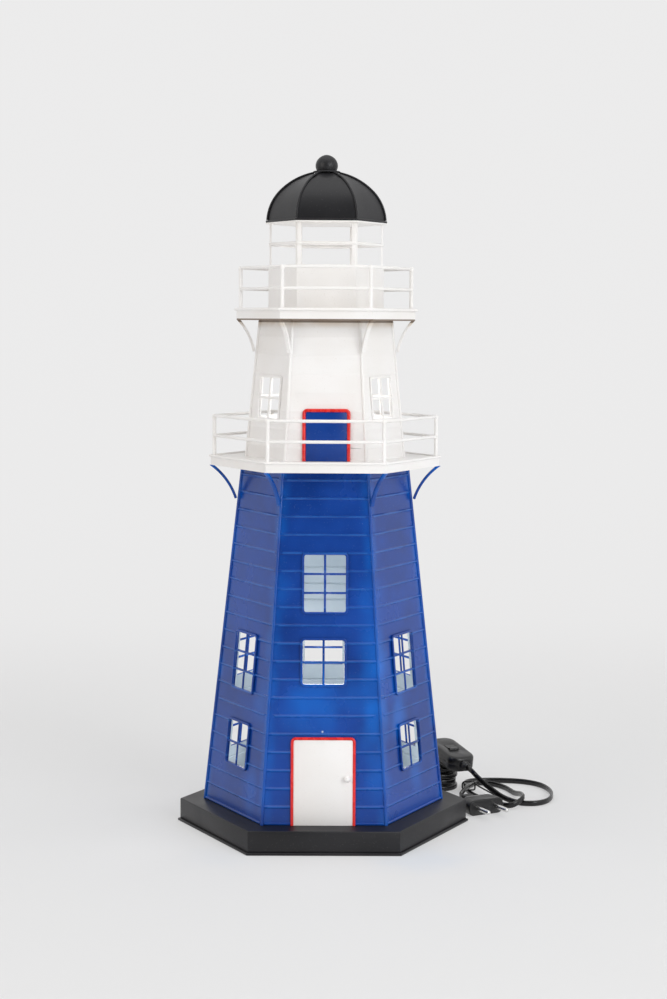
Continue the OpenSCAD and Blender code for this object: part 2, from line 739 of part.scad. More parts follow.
// Points of a smooth curve through a route, with this many steps from each point to the next
function catmull(p0, p1, p2, p3, t) =
  0.5 * (2 * p1 + (p2 - p0) * t + (2 * p0 - 5 * p1 + 4 * p2 - p3) * t * t
    + (3 * p1 - p0 - 3 * p2 + p3) * t * t * t);
function smooth_route(p, steps) =
  let (n = len(p) - 1)
    concat(
      [for (i = [0:n - 1]) for (s = [0:steps - 1])
        catmull(i == 0 ? 2 * p[0] - p[1] : p[i - 1], p[i], p[i + 1],
          i == n - 1 ? 2 * p[n] - p[n - 1] : p[i + 2], s / steps)],
      [p[n]]
    );
function unit(v) = v / norm(v);
function run_length(p, i = 0) = i >= len(p) - 1 ? 0 : norm(p[i + 1] - p[i]) + run_length(p, i + 1);

// Sweeps an oval of this many sides along points; first and last give the end directions, and the
// oval's high side stands along ref
module sweep(points, sides, first, last, thick = cord_t, high = cord_w, ref = [0, 0, 1]) {
  n = len(points) - 1;
  ring = [for (i = [0:n])
    let (
      ahead = i == 0 ? first : i == n ? last : unit(points[i + 1] - points[i - 1]),
      across = unit(cross(ahead, ref)),
      up = cross(across, ahead)
    )
      for (s = [0:sides - 1])
        let (a = 360 * (s + 0.5) / sides)
          points[i] + across * thick / 2 * cos(a) + up * high / 2 * sin(a)];
  sides_of = [for (i = [0:n - 1]) for (s = [0:sides - 1])
    let (a = i * sides + s, b = i * sides + (s + 1) % sides)
      for (tri = [[a, b, b + sides], [a, b + sides, a + sides]]) tri];
  caps = concat(
    [for (s = [1:sides - 2]) [0, s + 1, s]],
    [for (s = [1:sides - 2]) [n * sides, n * sides + s, n * sides + s + 1]]
  );
  polyhedron(points = ring, faces = concat(sides_of, caps), convexity = 6);
}

// Hank: four layers of long loops, drawn in at the waist, its near end by the base's rear right corner
hank_centre = [101, 142];
hank_angle = 101.5;
hank_half_run = 27;
hank_r = 18;
hank_step = 4.6;
hank_waist = 4.5;
hank_layer = 5.5;
hank_z = 3.1;
hank_phases = 23;
// Each loop has four phases: left run, near bend, right run, far bend. The spiral turns back at 6, 12 and 18
function hank_turns_in(p) =
  p < 6 ? p / 4
  : p < 7 ? 1.5
  : p < 12 ? 1.5 - (p - 7) / 4
  : p < 13 ? 0.25
  : p < 18 ? 0.25 + (p - 13) / 4
  : p < 19 ? 1.5
  : 1.5 - (p - 19) / 4;
function ramp(x) = let (t = min(max(x, 0), 1)) t * t * (3 - 2 * t);
function hank_height(p) = hank_z + hank_layer * (ramp(p - 6) + ramp(p - 12) + ramp(p - 18));
function hank_pinch(x) = abs(x) >= hank_half_run ? 0 : hank_waist * pow(cos(90 * x / hank_half_run), 2);
function hank_local(p) =
  let (
    phase = floor(p) % 4,
    f = p - floor(p),
    r = hank_r - hank_step * hank_turns_in(p),
    run_x = hank_half_run * (1 - 2 * f)
  )
    phase == 0 ? [run_x, r - hank_pinch(run_x)]
    : phase == 1 ? [-hank_half_run - r * sin(180 * f), r * cos(180 * f)]
    : phase == 2 ? [-run_x, hank_pinch(run_x) - r]
    : [hank_half_run + r * sin(180 * f), -r * cos(180 * f)];
function hank_point(p) =
  let (q = hank_local(p))
    [hank_centre[0] + q[0] * cos(hank_angle) - q[1] * sin(hank_angle),
     hank_centre[1] + q[0] * sin(hank_angle) + q[1] * cos(hank_angle),
     hank_height(p)];
// Rings: four to a run and eight to a bend
hank_steps = [for (k = [0:hank_phases - 1]) for (i = [0:(k % 2 == 0 ? 3 : 7)]) k + i / (k % 2 == 0 ? 4 : 8)];
hank_path = concat([for (p = hank_steps) hank_point(p)], [hank_point(hank_phases - 0.0001)]);
hank_in = [-cos(hank_angle), -sin(hank_angle), 0];
hank_out = [cos(hank_angle), sin(hank_angle), 0];

// Least distance between the hank's own strands, taking the flat cord's section into account
function section_gap(a, b) =
  let (d = b - a, flat = norm([d[0], d[1]]), high = abs(d[2]))
    flat < 0.001 ? high - cord_w
    : let (k = sqrt(pow(flat / cord_t, 2) + pow(high / cord_w, 2))) norm(d) * (1 - 1 / k);
hank_gap = min([for (i = [0:len(hank_path) - 1]) for (j = [i + 9:1:len(hank_path) - 1])
  section_gap(hank_path[i], hank_path[j])]);

// Switch: lies on the hank, tipped, with its rocker up
switch_centre = [117, 111, 32];
switch_yaw = 114;
switch_tilt = 9;
switch_nose = 6;
switch_axis = [cos(switch_yaw) * cos(switch_tilt), sin(switch_yaw) * cos(switch_tilt), sin(switch_tilt)];
switch_far_end = switch_centre + switch_axis * (switch_len / 2 + switch_nose);
switch_near_end = switch_centre - switch_axis * (switch_len / 2 + switch_nose);

// Plug: lies flat on its broad side beside the base
plug_face = [141.7, 21.6];
plug_angle = -62.6;
plug_z = plug_t / 2;
plug_dir = [cos(plug_angle), sin(plug_angle), 0];
plug_tail_end = [plug_face[0], plug_face[1], plug_z] - plug_dir * plug_len;

// Routes of the cord's free stretches
lead_route = [
  cord_exit, [0, 138, 10.5], [0, 147, 8.5], [3, 159, 5], [12, 171, 3.1], [26, 178.5, 3.1], [42, 183, 3.1],
  [58, 185, 3.1], [70, 182, 3.1], [78, 173.5, 3.1], hank_point(0)
];
riser_route = [
  hank_point(hank_phases - 0.0001), [108.5, 179, 19.8], [103, 185.5, 20.4], [94.5, 187, 21.6],
  [87.5, 182, 24], [85.5, 173, 27], [87.5, 163.5, 30.5], [92, 155.5, 33.5], [97, 149, 35.5], switch_far_end
];
loop_route = [
  switch_near_end, [133.4, 74.4, 25.4], [139.5, 67, 20], [149, 63.5, 12.5], [160, 60, 5.5], [173, 53, 2.6],
  [187, 50.5, 2.6], [198.5, 59, 2.6], [205, 76, 2.6], [206, 96, 2.6], [200, 116, 2.6], [187, 128, 2.6],
  [169, 133, 2.6], [150, 133.5, 2.6], [136.5, 127, 3.4], [130.5, 115, 4.4], [129.8, 102, 4.4], [133, 86, 2.6],
  [141, 67, 2.6], [152, 49.5, 2.6], [165.5, 40, 3.6], [176, 48, 8], [176.5, 65, 7], [172.5, 86, 3],
  [166, 107, 2.6], [155, 121, 2.6], [142.5, 120, 3.4], [136.5, 107.5, 4.9], [133.8, 94, 7.6],
  [128.5, 80.5, 8.4], [123.7, 68.5, 7], [122.6, 61, plug_z], plug_tail_end
];
CORD_SIDES = 8;

module inner_lead() color(black) {
  lead_z = cord_exit[2];
  sweep(
    [
      [0, gland_face_y - base_sheet - 3, lead_z], [0, gland_face_y - 14, lead_z], [0, gland_face_y - 30, 8],
      [0, gland_face_y - 50, 4.6], [0, 30, 3.2], [0, 14, 3.1], [0, 6.5, 4], [0, 2.2, 6.6],
      [0, 0.4, 10.4], [0, 0, holder_z], [0, 0, holder_z + nipple_in_holder]
    ],
    CORD_SIDES, [0, -1, 0], unit([0, -0.01, 1])
  );
}

module cord_lead() color(black) sweep(lead_route, CORD_SIDES, [0, 1, 0], hank_in);
module cord_hank() color(black) sweep(hank_path, 6, hank_in, hank_out);
module cord_riser() color(black) sweep(riser_route, CORD_SIDES, hank_out, -switch_axis);
module cord_loops() color(black) sweep(smooth_route(loop_route, 2), CORD_SIDES, -switch_axis, plug_dir);

echo(least_gap_in_hank = hank_gap);
echo(cord_length = run_length(lead_route) + run_length(hank_path)
  + run_length(riser_route) + switch_len + 2 * switch_nose
  + run_length(smooth_route(loop_route, 2)));

// Ties: a flat band round the hank's waist, and a wire tie twisted round the two near strands
tie_t = 0.5;
band_w = 4;
wire_d = 1.4;
wire_route = [
  [138.7, 104.2, 6.2], [138.7, 104.3, 2.6], [137.6, 104.4, 0.9], [133.5, 104.5, 0.8], [129.5, 104.7, 0.8],
  [127.7, 104.9, 1.8], [127.2, 105.1, 4.4], [127.6, 105.3, 7], [129.5, 105.5, 8.2], [133.5, 105.8, 8.6],
  [137.3, 106.1, 8.4], [139.4, 106, 6.8], [141, 104.6, 5], [146, 95, 4], [153, 82, 2.8], [160, 69, 1.2]
];

module cord_ties() color(black) {
  half = hank_r - hank_waist + cord_t / 2 + 0.4;
  top = hank_height(hank_phases) + cord_w / 2 + 0.4;
  translate([hank_centre[0], hank_centre[1], 0])
    rotate([0, 0, hank_angle])
      difference() {
        translate([-band_w / 2, -half - tie_t, 0]) cube([band_w, 2 * (half + tie_t), top + tie_t]);
        translate([-band_w, -half, tie_t]) cube([2 * band_w, 2 * half, top - tie_t]);
      }
  sweep(wire_route, 6, [0, 0, -1], unit([7, -13, -1.6]), wire_d, wire_d, [0, 1, 0]);
}

module at_switch()
  translate(switch_centre) rotate([0, 0, switch_yaw]) rotate([0, -switch_tilt, 0]) children();

module rounded_plan(l, w, r) {
  square([l - 2 * r, w], center = true);
  square([l, w - 2 * r], center = true);
  for (sx = [-1, 1]) for (sy = [-1, 1]) translate([sx * (l / 2 - r), sy * (w / 2 - r)]) circle(r);
}

module switch_noses(z_low)
  intersection() {
    for (s = [0, 180])
      rotate([0, 0, s])
        translate([switch_len / 2 - 1, 0, 0])
          rotate([0, 90, 0]) cylinder(r1 = 4.8, r2 = 3.4, h = switch_nose + 1);
    translate([-switch_len, -10, z_low]) cube([2 * switch_len, 20, switch_t / 2]);
  }

switch_screw_x = switch_len / 2 - 7;
rocker_pin_r = 1;
rocker_pin_len = 1.4;
rocker_axis_z = switch_t / 2 - 1.4;
rocker_r = rocker_len / 2;
rocker_tip = 8;

module switch_lower_case() color(black) at_switch() difference() {
  union() {
    translate([0, 0, -switch_t / 2 + 1.2])
      linear_extrude(switch_t / 2 - 1.2) rounded_plan(switch_len, switch_w, switch_corner_r);
    translate([0, 0, -switch_t / 2])
      linear_extrude(1.2) rounded_plan(switch_len - 2.4, switch_w - 2.4, switch_corner_r - 1.2);
    switch_noses(-switch_t / 2);
  }
  for (s = [-1, 1]) translate([s * switch_screw_x, 0, -switch_t / 2 - CUT]) cylinder(r = 2.4, h = CUT + 2);
}

module switch_upper_case() color(black) at_switch() difference() {
  union() {
    linear_extrude(switch_t / 2 - 1.2) rounded_plan(switch_len, switch_w, switch_corner_r);
    translate([0, 0, switch_t / 2 - 1.2])
      linear_extrude(1.2) rounded_plan(switch_len - 2.4, switch_w - 2.4, switch_corner_r - 1.2);
    switch_noses(0);
  }
  well = [2 * (rocker_r + rocker_gap), rocker_w + 2 * rocker_gap];
  translate([-well[0] / 2, -well[1] / 2, -CUT]) cube([well[0], well[1], switch_t]);
  translate([0, -rocker_w / 2 - rocker_pin_len - 0.2, rocker_axis_z])
    rotate([-90, 0, 0]) cylinder(r = rocker_pin_r + 0.05, h = rocker_w + 2 * rocker_pin_len + 0.4);
}

// Rocker: a drum segment on two stub pins, its top dished to a shallow V
module switch_rocker()
  color(black)
    at_switch()
      translate([0, 0, rocker_axis_z])
        rotate([0, rocker_tip, 0]) {
          difference() {
            rotate([90, 0, 0]) cylinder(r = rocker_r, h = rocker_w, center = true);
            for (s = [-1, 1])
              rotate([0, s * rocker_tip, 0])
                translate([s > 0 ? -rocker_len : 0, -rocker_w, 1.6]) cube([rocker_len, 2 * rocker_w, rocker_len]);
            translate([-rocker_len, -rocker_w, -rocker_len - rocker_axis_z + 1.1])
              cube([2 * rocker_len, 2 * rocker_w, rocker_len]);
          }
          rotate([90, 0, 0])
            cylinder(r = rocker_pin_r, h = rocker_w + 2 * rocker_pin_len, center = true);
        }

module at_plug()
  translate([plug_face[0], plug_face[1], plug_z]) rotate([0, 0, plug_angle]) children();

// Plug seen from its face: a flat six-sided outline with rounded ends
module plug_section(w, t)
  rotate([90, 0, -90]) linear_extrude(0.6, center = true) union() {
    square([w - t, t], center = true);
    for (s = [-1, 1]) translate([s * (w - t) / 2, 0]) circle(d = t, $fn = 32);
  }

module plug_body() color(black) at_plug() difference() {
  union() {
    hull() {
      translate([-0.3, 0, 0]) plug_section(plug_w, plug_t);
      translate([-15, 0, 0]) plug_section(plug_w - 3, plug_t);
    }
    hull() {
      translate([-15, 0, 0]) plug_section(plug_w - 3, plug_t);
      translate([-plug_len + 11, 0, 0]) plug_section(14, 9.4);
    }
    hull() {
      translate([-plug_len + 11, 0, 0]) plug_section(11, 8.4);
      translate([-plug_len + 0.3, 0, 0]) plug_section(7.2, 6.2);
    }
  }
}

// Pins: a straight shank with a chamfered tip each, standing on the plug's face
module plug_pins()
  color(steel)
    at_plug()
      for (s = [-1, 1])
        translate([0, s * pin_spacing / 2, 0])
          rotate([0, 90, 0]) {
            cylinder(d = pin_d, h = pin_len - 1);
            translate([0, 0, pin_len - 1]) cylinder(d1 = pin_d, d2 = pin_d - 1.4, h = 1);
          }

base_tray();
tower_panel(0);  // tower_panel_front
tower_panel(1);  // tower_panel_front_right
tower_panel(2);  // tower_panel_rear_right
tower_panel(3);  // tower_panel_rear
tower_panel(4);  // tower_panel_rear_left
tower_panel(5);  // tower_panel_front_left
tower_seams();
tower_windows(0);  // tower_tall_windows
tower_windows(1);  // tower_low_windows
tower_door();
tower_door_frame();
tower_door_knob();
gallery_deck();
gallery_brackets();
gallery_posts();
gallery_mid_rail();
gallery_top_rail();
upper_panel(0);  // upper_panel_front
upper_panel(1);  // upper_panel_front_right
upper_panel(2);  // upper_panel_rear_right
upper_panel(3);  // upper_panel_rear
upper_panel(4);  // upper_panel_rear_left
upper_panel(5);  // upper_panel_front_left
upper_seams();
upper_window_frames();  // upper_windows
upper_door();
upper_door_frame();
upper_gallery_deck();
upper_gallery_brackets();
upper_gallery_posts();
upper_gallery_mid_rail();
upper_gallery_top_rail();
lantern_drum();
lantern_posts();
lantern_ring();
lantern_ceiling();
dome_gores();
dome_ribs();
dome_rim();
finial();
lamp_bracket();
lamp_screws();
lamp_nipple();
lamp_nut();
lampholder();
bulb_cap();
bulb_glass();
inner_lead();
cord_gland();
cord_lead();
cord_hank();
cord_riser();
cord_loops();
cord_ties();
switch_lower_case();
switch_upper_case();
switch_rocker();
plug_body();
plug_pins();
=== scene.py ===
import json
import math
import bmesh
import bpy
from mathutils import Euler, Matrix, Quaternion, Vector

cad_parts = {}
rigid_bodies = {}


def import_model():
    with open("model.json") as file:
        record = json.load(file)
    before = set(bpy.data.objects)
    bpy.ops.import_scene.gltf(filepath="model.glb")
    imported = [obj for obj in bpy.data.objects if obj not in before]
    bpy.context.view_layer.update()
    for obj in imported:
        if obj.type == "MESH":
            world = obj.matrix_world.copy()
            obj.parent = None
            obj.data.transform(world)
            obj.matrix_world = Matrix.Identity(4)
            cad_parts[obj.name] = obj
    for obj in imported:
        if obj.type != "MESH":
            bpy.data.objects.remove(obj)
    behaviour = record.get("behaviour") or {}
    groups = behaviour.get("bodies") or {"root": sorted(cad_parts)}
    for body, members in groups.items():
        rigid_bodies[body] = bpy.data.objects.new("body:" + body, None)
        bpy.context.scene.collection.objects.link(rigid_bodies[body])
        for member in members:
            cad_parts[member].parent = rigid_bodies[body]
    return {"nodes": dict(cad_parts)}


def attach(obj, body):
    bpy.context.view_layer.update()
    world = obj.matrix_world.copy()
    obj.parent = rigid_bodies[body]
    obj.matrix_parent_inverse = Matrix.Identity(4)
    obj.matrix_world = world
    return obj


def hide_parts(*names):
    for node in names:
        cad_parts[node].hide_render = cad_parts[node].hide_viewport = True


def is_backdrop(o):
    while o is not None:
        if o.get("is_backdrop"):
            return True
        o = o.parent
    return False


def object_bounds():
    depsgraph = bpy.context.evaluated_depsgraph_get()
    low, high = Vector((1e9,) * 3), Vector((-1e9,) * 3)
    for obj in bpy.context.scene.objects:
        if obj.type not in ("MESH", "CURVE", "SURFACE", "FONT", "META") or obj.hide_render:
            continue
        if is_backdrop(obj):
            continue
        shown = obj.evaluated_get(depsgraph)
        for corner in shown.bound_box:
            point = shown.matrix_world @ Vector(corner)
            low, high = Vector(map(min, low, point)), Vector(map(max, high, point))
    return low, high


for leftover in list(bpy.data.objects):
    bpy.data.objects.remove(leftover)
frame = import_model()
cadLow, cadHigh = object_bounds()
print("frame loaded:", len(frame["nodes"]), "nodes")

mm = 0.001
cos30 = math.cos(math.radians(30))
faceNames = ["front", "front_right", "rear_right", "rear", "rear_left", "front_left"]
towerBody = "lighthouse"

# Storeys: corner radius at foot and top, height of the foot and of the storey, in millimetres
storeys = {
    "tower": {"foot": 100.8, "top": 68.4, "z": 19.6, "height": 291.7},
    "upper": {"foot": 66, "top": 54, "z": 312.3, "height": 120.5},
}
deckZ = 312.3
upperDeckZ = 433.8
ceilingZ = 505.2
domeZ = 506.4


def clearSelection():
    if bpy.context.object and bpy.context.object.mode != "OBJECT":
        bpy.ops.object.mode_set(mode="OBJECT")
    bpy.ops.object.select_all(action="DESELECT")


def pick(obj):
    clearSelection()
    obj.select_set(True)
    bpy.context.view_layer.objects.active = obj
    return obj


def named(name):
    obj = bpy.context.object
    obj.name = name
    obj.data.name = name
    return obj


def openMesh(obj, mode="FACE", everything=False):
    pick(obj)
    bpy.ops.object.mode_set(mode="EDIT")
    bpy.ops.mesh.select_mode(type=mode)
    bpy.ops.mesh.select_all(action="SELECT" if everything else "DESELECT")


def closeMesh():
    bpy.ops.object.mode_set(mode="OBJECT")


def selectFaces(obj, test):
    mesh = bmesh.from_edit_mesh(obj.data)
    for face in mesh.faces:
        face.select = test(face.calc_center_median() / mm, face.normal)
    mesh.select_flush_mode()
    bmesh.update_edit_mesh(obj.data)


def selectVerts(obj, test):
    bpy.ops.mesh.select_mode(type="VERT")
    mesh = bmesh.from_edit_mesh(obj.data)
    for vert in mesh.verts:
        vert.select = test(vert.co / mm)
    mesh.select_flush_mode()
    bmesh.update_edit_mesh(obj.data)


def selectAll(mode=None):
    if mode:
        bpy.ops.mesh.select_mode(type=mode)
    bpy.ops.mesh.select_all(action="SELECT")


def cutAll(point, direction, **settings):
    selectAll()
    bpy.ops.mesh.bisect(plane_co=[c * mm for c in point], plane_no=direction, **settings)


def move(x=0, y=0, z=0):
    bpy.ops.transform.translate(value=(x * mm, y * mm, z * mm))


def resize(x=1, y=1, z=1, **settings):
    bpy.ops.transform.resize(value=(x, y, z), **settings)


def extrude(x=0, y=0, z=0):
    bpy.ops.mesh.extrude_region_move(TRANSFORM_OT_translate={"value": (x * mm, y * mm, z * mm)})


def spin(steps, angle, axis=(0, 0, 1), centre=(0, 0, 0)):
    bpy.ops.mesh.spin(steps=steps, angle=angle, axis=axis, center=[c * mm for c in centre])


def roundCorners(radius, segments=1):
    bpy.ops.mesh.bevel(offset=radius * mm, segments=segments, affect="VERTICES")


def faceOutwards():
    selectAll()
    bpy.ops.mesh.normals_make_consistent(inside=False)


def weld():
    selectAll()
    bpy.ops.mesh.remove_doubles(threshold=1e-6)
    faceOutwards()


# A point of a profile, on an arc round (x, z); squash flattens the arc
def onArc(radius, degrees, x=0, z=0, squash=1):
    angle = math.radians(degrees)
    return x + radius * math.cos(angle), z + radius * squash * math.sin(angle)


def shifted(x=0, y=0, z=0):
    return Matrix.Translation((x * mm, y * mm, z * mm))


def tipped(axis, angle):
    return Matrix.Rotation(angle, 4, axis)


# Both leave the new piece open in edit mode, with all of it selected
def flatSheet(name, wide, high, mode="FACE"):
    clearSelection()
    bpy.ops.mesh.primitive_plane_add(size=1)
    obj = named(name)
    openMesh(obj, mode, everything=True)
    resize(wide * mm, high * mm)
    return obj


def plainBox(name, wide, deep, high):
    clearSelection()
    bpy.ops.mesh.primitive_cube_add(size=1)
    obj = named(name)
    openMesh(obj, everything=True)
    resize(wide * mm, deep * mm, high * mm)
    return obj


def modify(obj, kind, **settings):
    pick(obj)
    modifier = obj.modifiers.new(kind.lower(), kind)
    for key, value in settings.items():
        setattr(modifier, key, value)
    bpy.ops.object.modifier_apply(modifier=modifier.name)
    return obj


def cutOut(obj):
    cutter = named("cutter")
    modify(obj, "BOOLEAN", operation="DIFFERENCE", object=cutter, solver="EXACT")
    bpy.data.objects.remove(cutter)


def cutBox(obj, size, centre):
    clearSelection()
    bpy.ops.mesh.primitive_cube_add(size=1, location=[c * mm for c in centre])
    bpy.context.object.scale = [c * mm for c in size]
    cutOut(obj)


def cutRound(obj, radius, centre, high, sides=28):
    clearSelection()
    bpy.ops.mesh.primitive_cylinder_add(vertices=sides, radius=radius * mm, depth=high * mm,
                                        location=[c * mm for c in centre])
    cutOut(obj)


def roundEdges(obj, width, segments=2, angle=35):
    modify(obj, "BEVEL", width=width * mm, segments=segments, limit_method="ANGLE",
           angle_limit=math.radians(angle), harden_normals=False)
    return smooth(obj)


def smooth(obj, angle=38):
    pick(obj)
    bpy.ops.object.shade_smooth_by_angle(angle=math.radians(angle))
    return obj


def place(obj, matrix):
    obj.matrix_world = matrix @ obj.matrix_world
    pick(obj)
    bpy.ops.object.transform_apply(location=True, rotation=True, scale=True)
    return obj


def copyOf(obj, matrix):
    twin = obj.copy()
    twin.data = obj.data.copy()
    bpy.context.scene.collection.objects.link(twin)
    return place(twin, matrix)


def joined(objects, name):
    clearSelection()
    for obj in objects:
        obj.select_set(True)
    bpy.context.view_layer.objects.active = objects[0]
    bpy.ops.object.join()
    return named(name)


def turned(angle):
    return Matrix.Rotation(math.radians(angle), 4, "Z")


def sixOf(obj, name):
    copies = [copyOf(obj, turned(60 * k)) for k in range(1, 6)]
    return joined([obj] + copies, name)


# A coated piece has its materials already
def finish(obj, slot, *nodes, coated=False):
    if not coated:
        obj.data.materials.clear()
        obj.data.materials.append(finishes[slot])
    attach(obj, towerBody)
    if nodes:
        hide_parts(*nodes)
    return obj


# A profile of (radius, height) points turned about the Z axis; six steps give a hexagon with corners
# at the radius, more steps a round piece
def turnedProfile(name, profile, steps, closed=False):
    obj = flatSheet(name, 1, 1, "VERT")
    bpy.ops.mesh.merge(type="CENTER")
    move(profile[0][0], 0, profile[0][1])
    for before, after in zip(profile, profile[1:]):
        extrude(after[0] - before[0], 0, after[1] - before[1])
    if closed:
        mesh = bmesh.from_edit_mesh(obj.data)
        mesh.verts.ensure_lookup_table()
        ends = [v for v in mesh.verts if len(v.link_edges) == 1]
        for vert in mesh.verts:
            vert.select = vert in ends
        bmesh.update_edit_mesh(obj.data)
        bpy.ops.mesh.edge_face_add()
    selectAll()
    spin(steps, math.tau)
    weld()
    closeMesh()
    return obj


# Stands a piece drawn flat (x along, y up the slope, z outwards) on a face of a storey
def faceMatrix(storey, face):
    sizes = storeys[storey]
    lean = math.atan((sizes["foot"] - sizes["top"]) * cos30 / sizes["height"])
    return (turned(-90 + 60 * face)
            @ shifted(sizes["foot"] * cos30, 0, sizes["z"])
            @ tipped("Y", -lean) @ tipped("Z", math.pi / 2) @ tipped("X", math.pi / 2))


def slopeLength(storey):
    sizes = storeys[storey]
    return math.hypot(sizes["height"], (sizes["foot"] - sizes["top"]) * cos30)


# Camera at the photograph's place; turns in degrees
cameraFacts = {"place": (-0.01017, -1.58127, 0.42697), "down": 5.454, "side": -0.6295, "roll": 0.337,
               "lens": 68.03, "sensor": 36}
bpy.ops.object.camera_add(location=cameraFacts["place"])
camera = bpy.context.object
aim = Euler((math.radians(90 - cameraFacts["down"]), 0, math.radians(cameraFacts["side"])))
roll = Quaternion((0, 0, 1), math.radians(cameraFacts["roll"]))
camera.rotation_euler = (aim.to_quaternion() @ roll).to_euler()
camera.data.lens = cameraFacts["lens"]
camera.data.sensor_width = cameraFacts["sensor"]
bpy.context.scene.camera = camera

# Cord: where it goes, in millimetres
cordFacts = {
    "width": 5, "thickness": 3.1,
    "exit": (0, 130.06, 10.5),
    "hankCentre": (101, 142), "hankAngle": 101.5, "halfRun": 27, "radius": 18, "step": 4.6,
    "waist": 4.5, "layer": 5.5, "floor": 3.1, "phases": 23,
    "switchCentre": (117, 111, 32), "switchYaw": 114, "switchTilt": 9, "switchLength": 52, "nose": 6,
    "plugFace": (141.7, 21.6), "plugAngle": -62.6, "plugThickness": 13.7, "plugLength": 36,
}


def hankTurnsIn(p):
    if p < 6:
        return p / 4
    if p < 7:
        return 1.5
    if p < 12:
        return 1.5 - (p - 7) / 4
    if p < 13:
        return 0.25
    if p < 18:
        return 0.25 + (p - 13) / 4
    if p < 19:
        return 1.5
    return 1.5 - (p - 19) / 4


def ramp(x):
    t = min(max(x, 0), 1)
    return t * t * (3 - 2 * t)


def hankPoint(p):
    facts = cordFacts
    phase = int(p) % 4
    part = p - int(p)
    r = facts["radius"] - facts["step"] * hankTurnsIn(p)
    run = facts["halfRun"] * (1 - 2 * part)
    pinch = facts["waist"] * math.cos(math.pi / 2 * run / facts["halfRun"]) ** 2
    if phase == 0:
        x, y = run, r - pinch
    elif phase == 1:
        x, y = -facts["halfRun"] - r * math.sin(math.pi * part), r * math.cos(math.pi * part)
    elif phase == 2:
        x, y = -run, pinch - r
    else:
        x, y = facts["halfRun"] + r * math.sin(math.pi * part), -r * math.cos(math.pi * part)
    angle = math.radians(facts["hankAngle"])
    height = facts["floor"] + facts["layer"] * (ramp(p - 6) + ramp(p - 12) + ramp(p - 18))
    return Vector((facts["hankCentre"][0] + x * math.cos(angle) - y * math.sin(angle),
                   facts["hankCentre"][1] + x * math.sin(angle) + y * math.cos(angle), height))


def smoothRoute(points, steps):
    p = [Vector(q) for q in points]
    p = [2 * p[0] - p[1]] + p + [2 * p[-1] - p[-2]]
    route = []
    for i in range(1, len(p) - 2):
        a, b, c, d = p[i - 1:i + 3]
        for s in range(steps):
            t = s / steps
            route.append(0.5 * (2 * b + (c - a) * t + (2 * a - 5 * b + 4 * c - d) * t * t
                                + (3 * b - a - 3 * c + d) * t ** 3))
    return route + [p[-2]]


def routeLength(route):
    return sum((b - a).length for a, b in zip(route, route[1:]))


yaw = math.radians(cordFacts["switchYaw"])
tilt = math.radians(cordFacts["switchTilt"])
switchAxis = Vector((math.cos(yaw) * math.cos(tilt), math.sin(yaw) * math.cos(tilt), math.sin(tilt)))
switchCentre = Vector(cordFacts["switchCentre"])
switchReach = cordFacts["switchLength"] / 2 + cordFacts["nose"]
switchFarEnd = switchCentre + switchAxis * switchReach
switchNearEnd = switchCentre - switchAxis * switchReach
plugAngle = math.radians(cordFacts["plugAngle"])
plugDir = Vector((math.cos(plugAngle), math.sin(plugAngle), 0))
plugZ = cordFacts["plugThickness"] / 2
plugFace = Vector((*cordFacts["plugFace"], plugZ))
plugTailEnd = plugFace - plugDir * cordFacts["plugLength"]

leadRoute = [
    cordFacts["exit"], (0, 138, 10.5), (0, 147, 8.5), (3, 159, 5), (12, 171, 3.1), (26, 178.5, 3.1),
    (42, 183, 3.1), (58, 185, 3.1), (70, 182, 3.1), (78, 173.5, 3.1)]
riserRoute = [
    (108.5, 179, 19.8), (103, 185.5, 20.4), (94.5, 187, 21.6), (87.5, 182, 24), (85.5, 173, 27),
    (87.5, 163.5, 30.5), (92, 155.5, 33.5), (97, 149, 35.5), switchFarEnd]
loopRoute = [
    switchNearEnd, (133.4, 74.4, 25.4), (139.5, 67, 20), (149, 63.5, 12.5), (160, 60, 5.5), (173, 53, 2.6),
    (187, 50.5, 2.6), (198.5, 59, 2.6), (205, 76, 2.6), (206, 96, 2.6), (200, 116, 2.6), (187, 128, 2.6),
    (169, 133, 2.6), (150, 133.5, 2.6), (136.5, 127, 3.4), (130.5, 115, 4.4), (129.8, 102, 4.4),
    (133, 86, 2.6), (141, 67, 2.6), (152, 49.5, 2.6), (165.5, 40, 3.6), (176, 48, 8), (176.5, 65, 7),
    (172.5, 86, 3), (166, 107, 2.6), (155, 121, 2.6), (142.5, 120, 3.4), (136.5, 107.5, 4.9),
    (133.8, 94, 7.6), (128.5, 80.5, 8.4), (123.7, 68.5, 7), (122.6, 61, plugZ), plugTailEnd]
wireRoute = [
    (138.7, 104.2, 6.2), (138.7, 104.3, 2.6), (137.6, 104.4, 0.9), (133.5, 104.5, 0.8), (129.5, 104.7, 0.8),
    (127.7, 104.9, 1.8), (127.2, 105.1, 4.4), (127.6, 105.3, 7), (129.5, 105.5, 8.2), (133.5, 105.8, 8.6),
    (137.3, 106.1, 8.4), (139.4, 106, 6.8), (141, 104.6, 5), (146, 95, 4), (153, 82, 2.8), (160, 69, 1.2)]
innerRoute = [
    (0, 102.65, 10.5), (0, 91.65, 10.5), (0, 75.65, 8), (0, 55.65, 4.6), (0, 30, 3.2), (0, 14, 3.1),
    (0, 6.5, 4), (0, 2.2, 6.6), (0, 0.4, 10.4), (0, 0, 14.2), (0, 0, 23.2)]


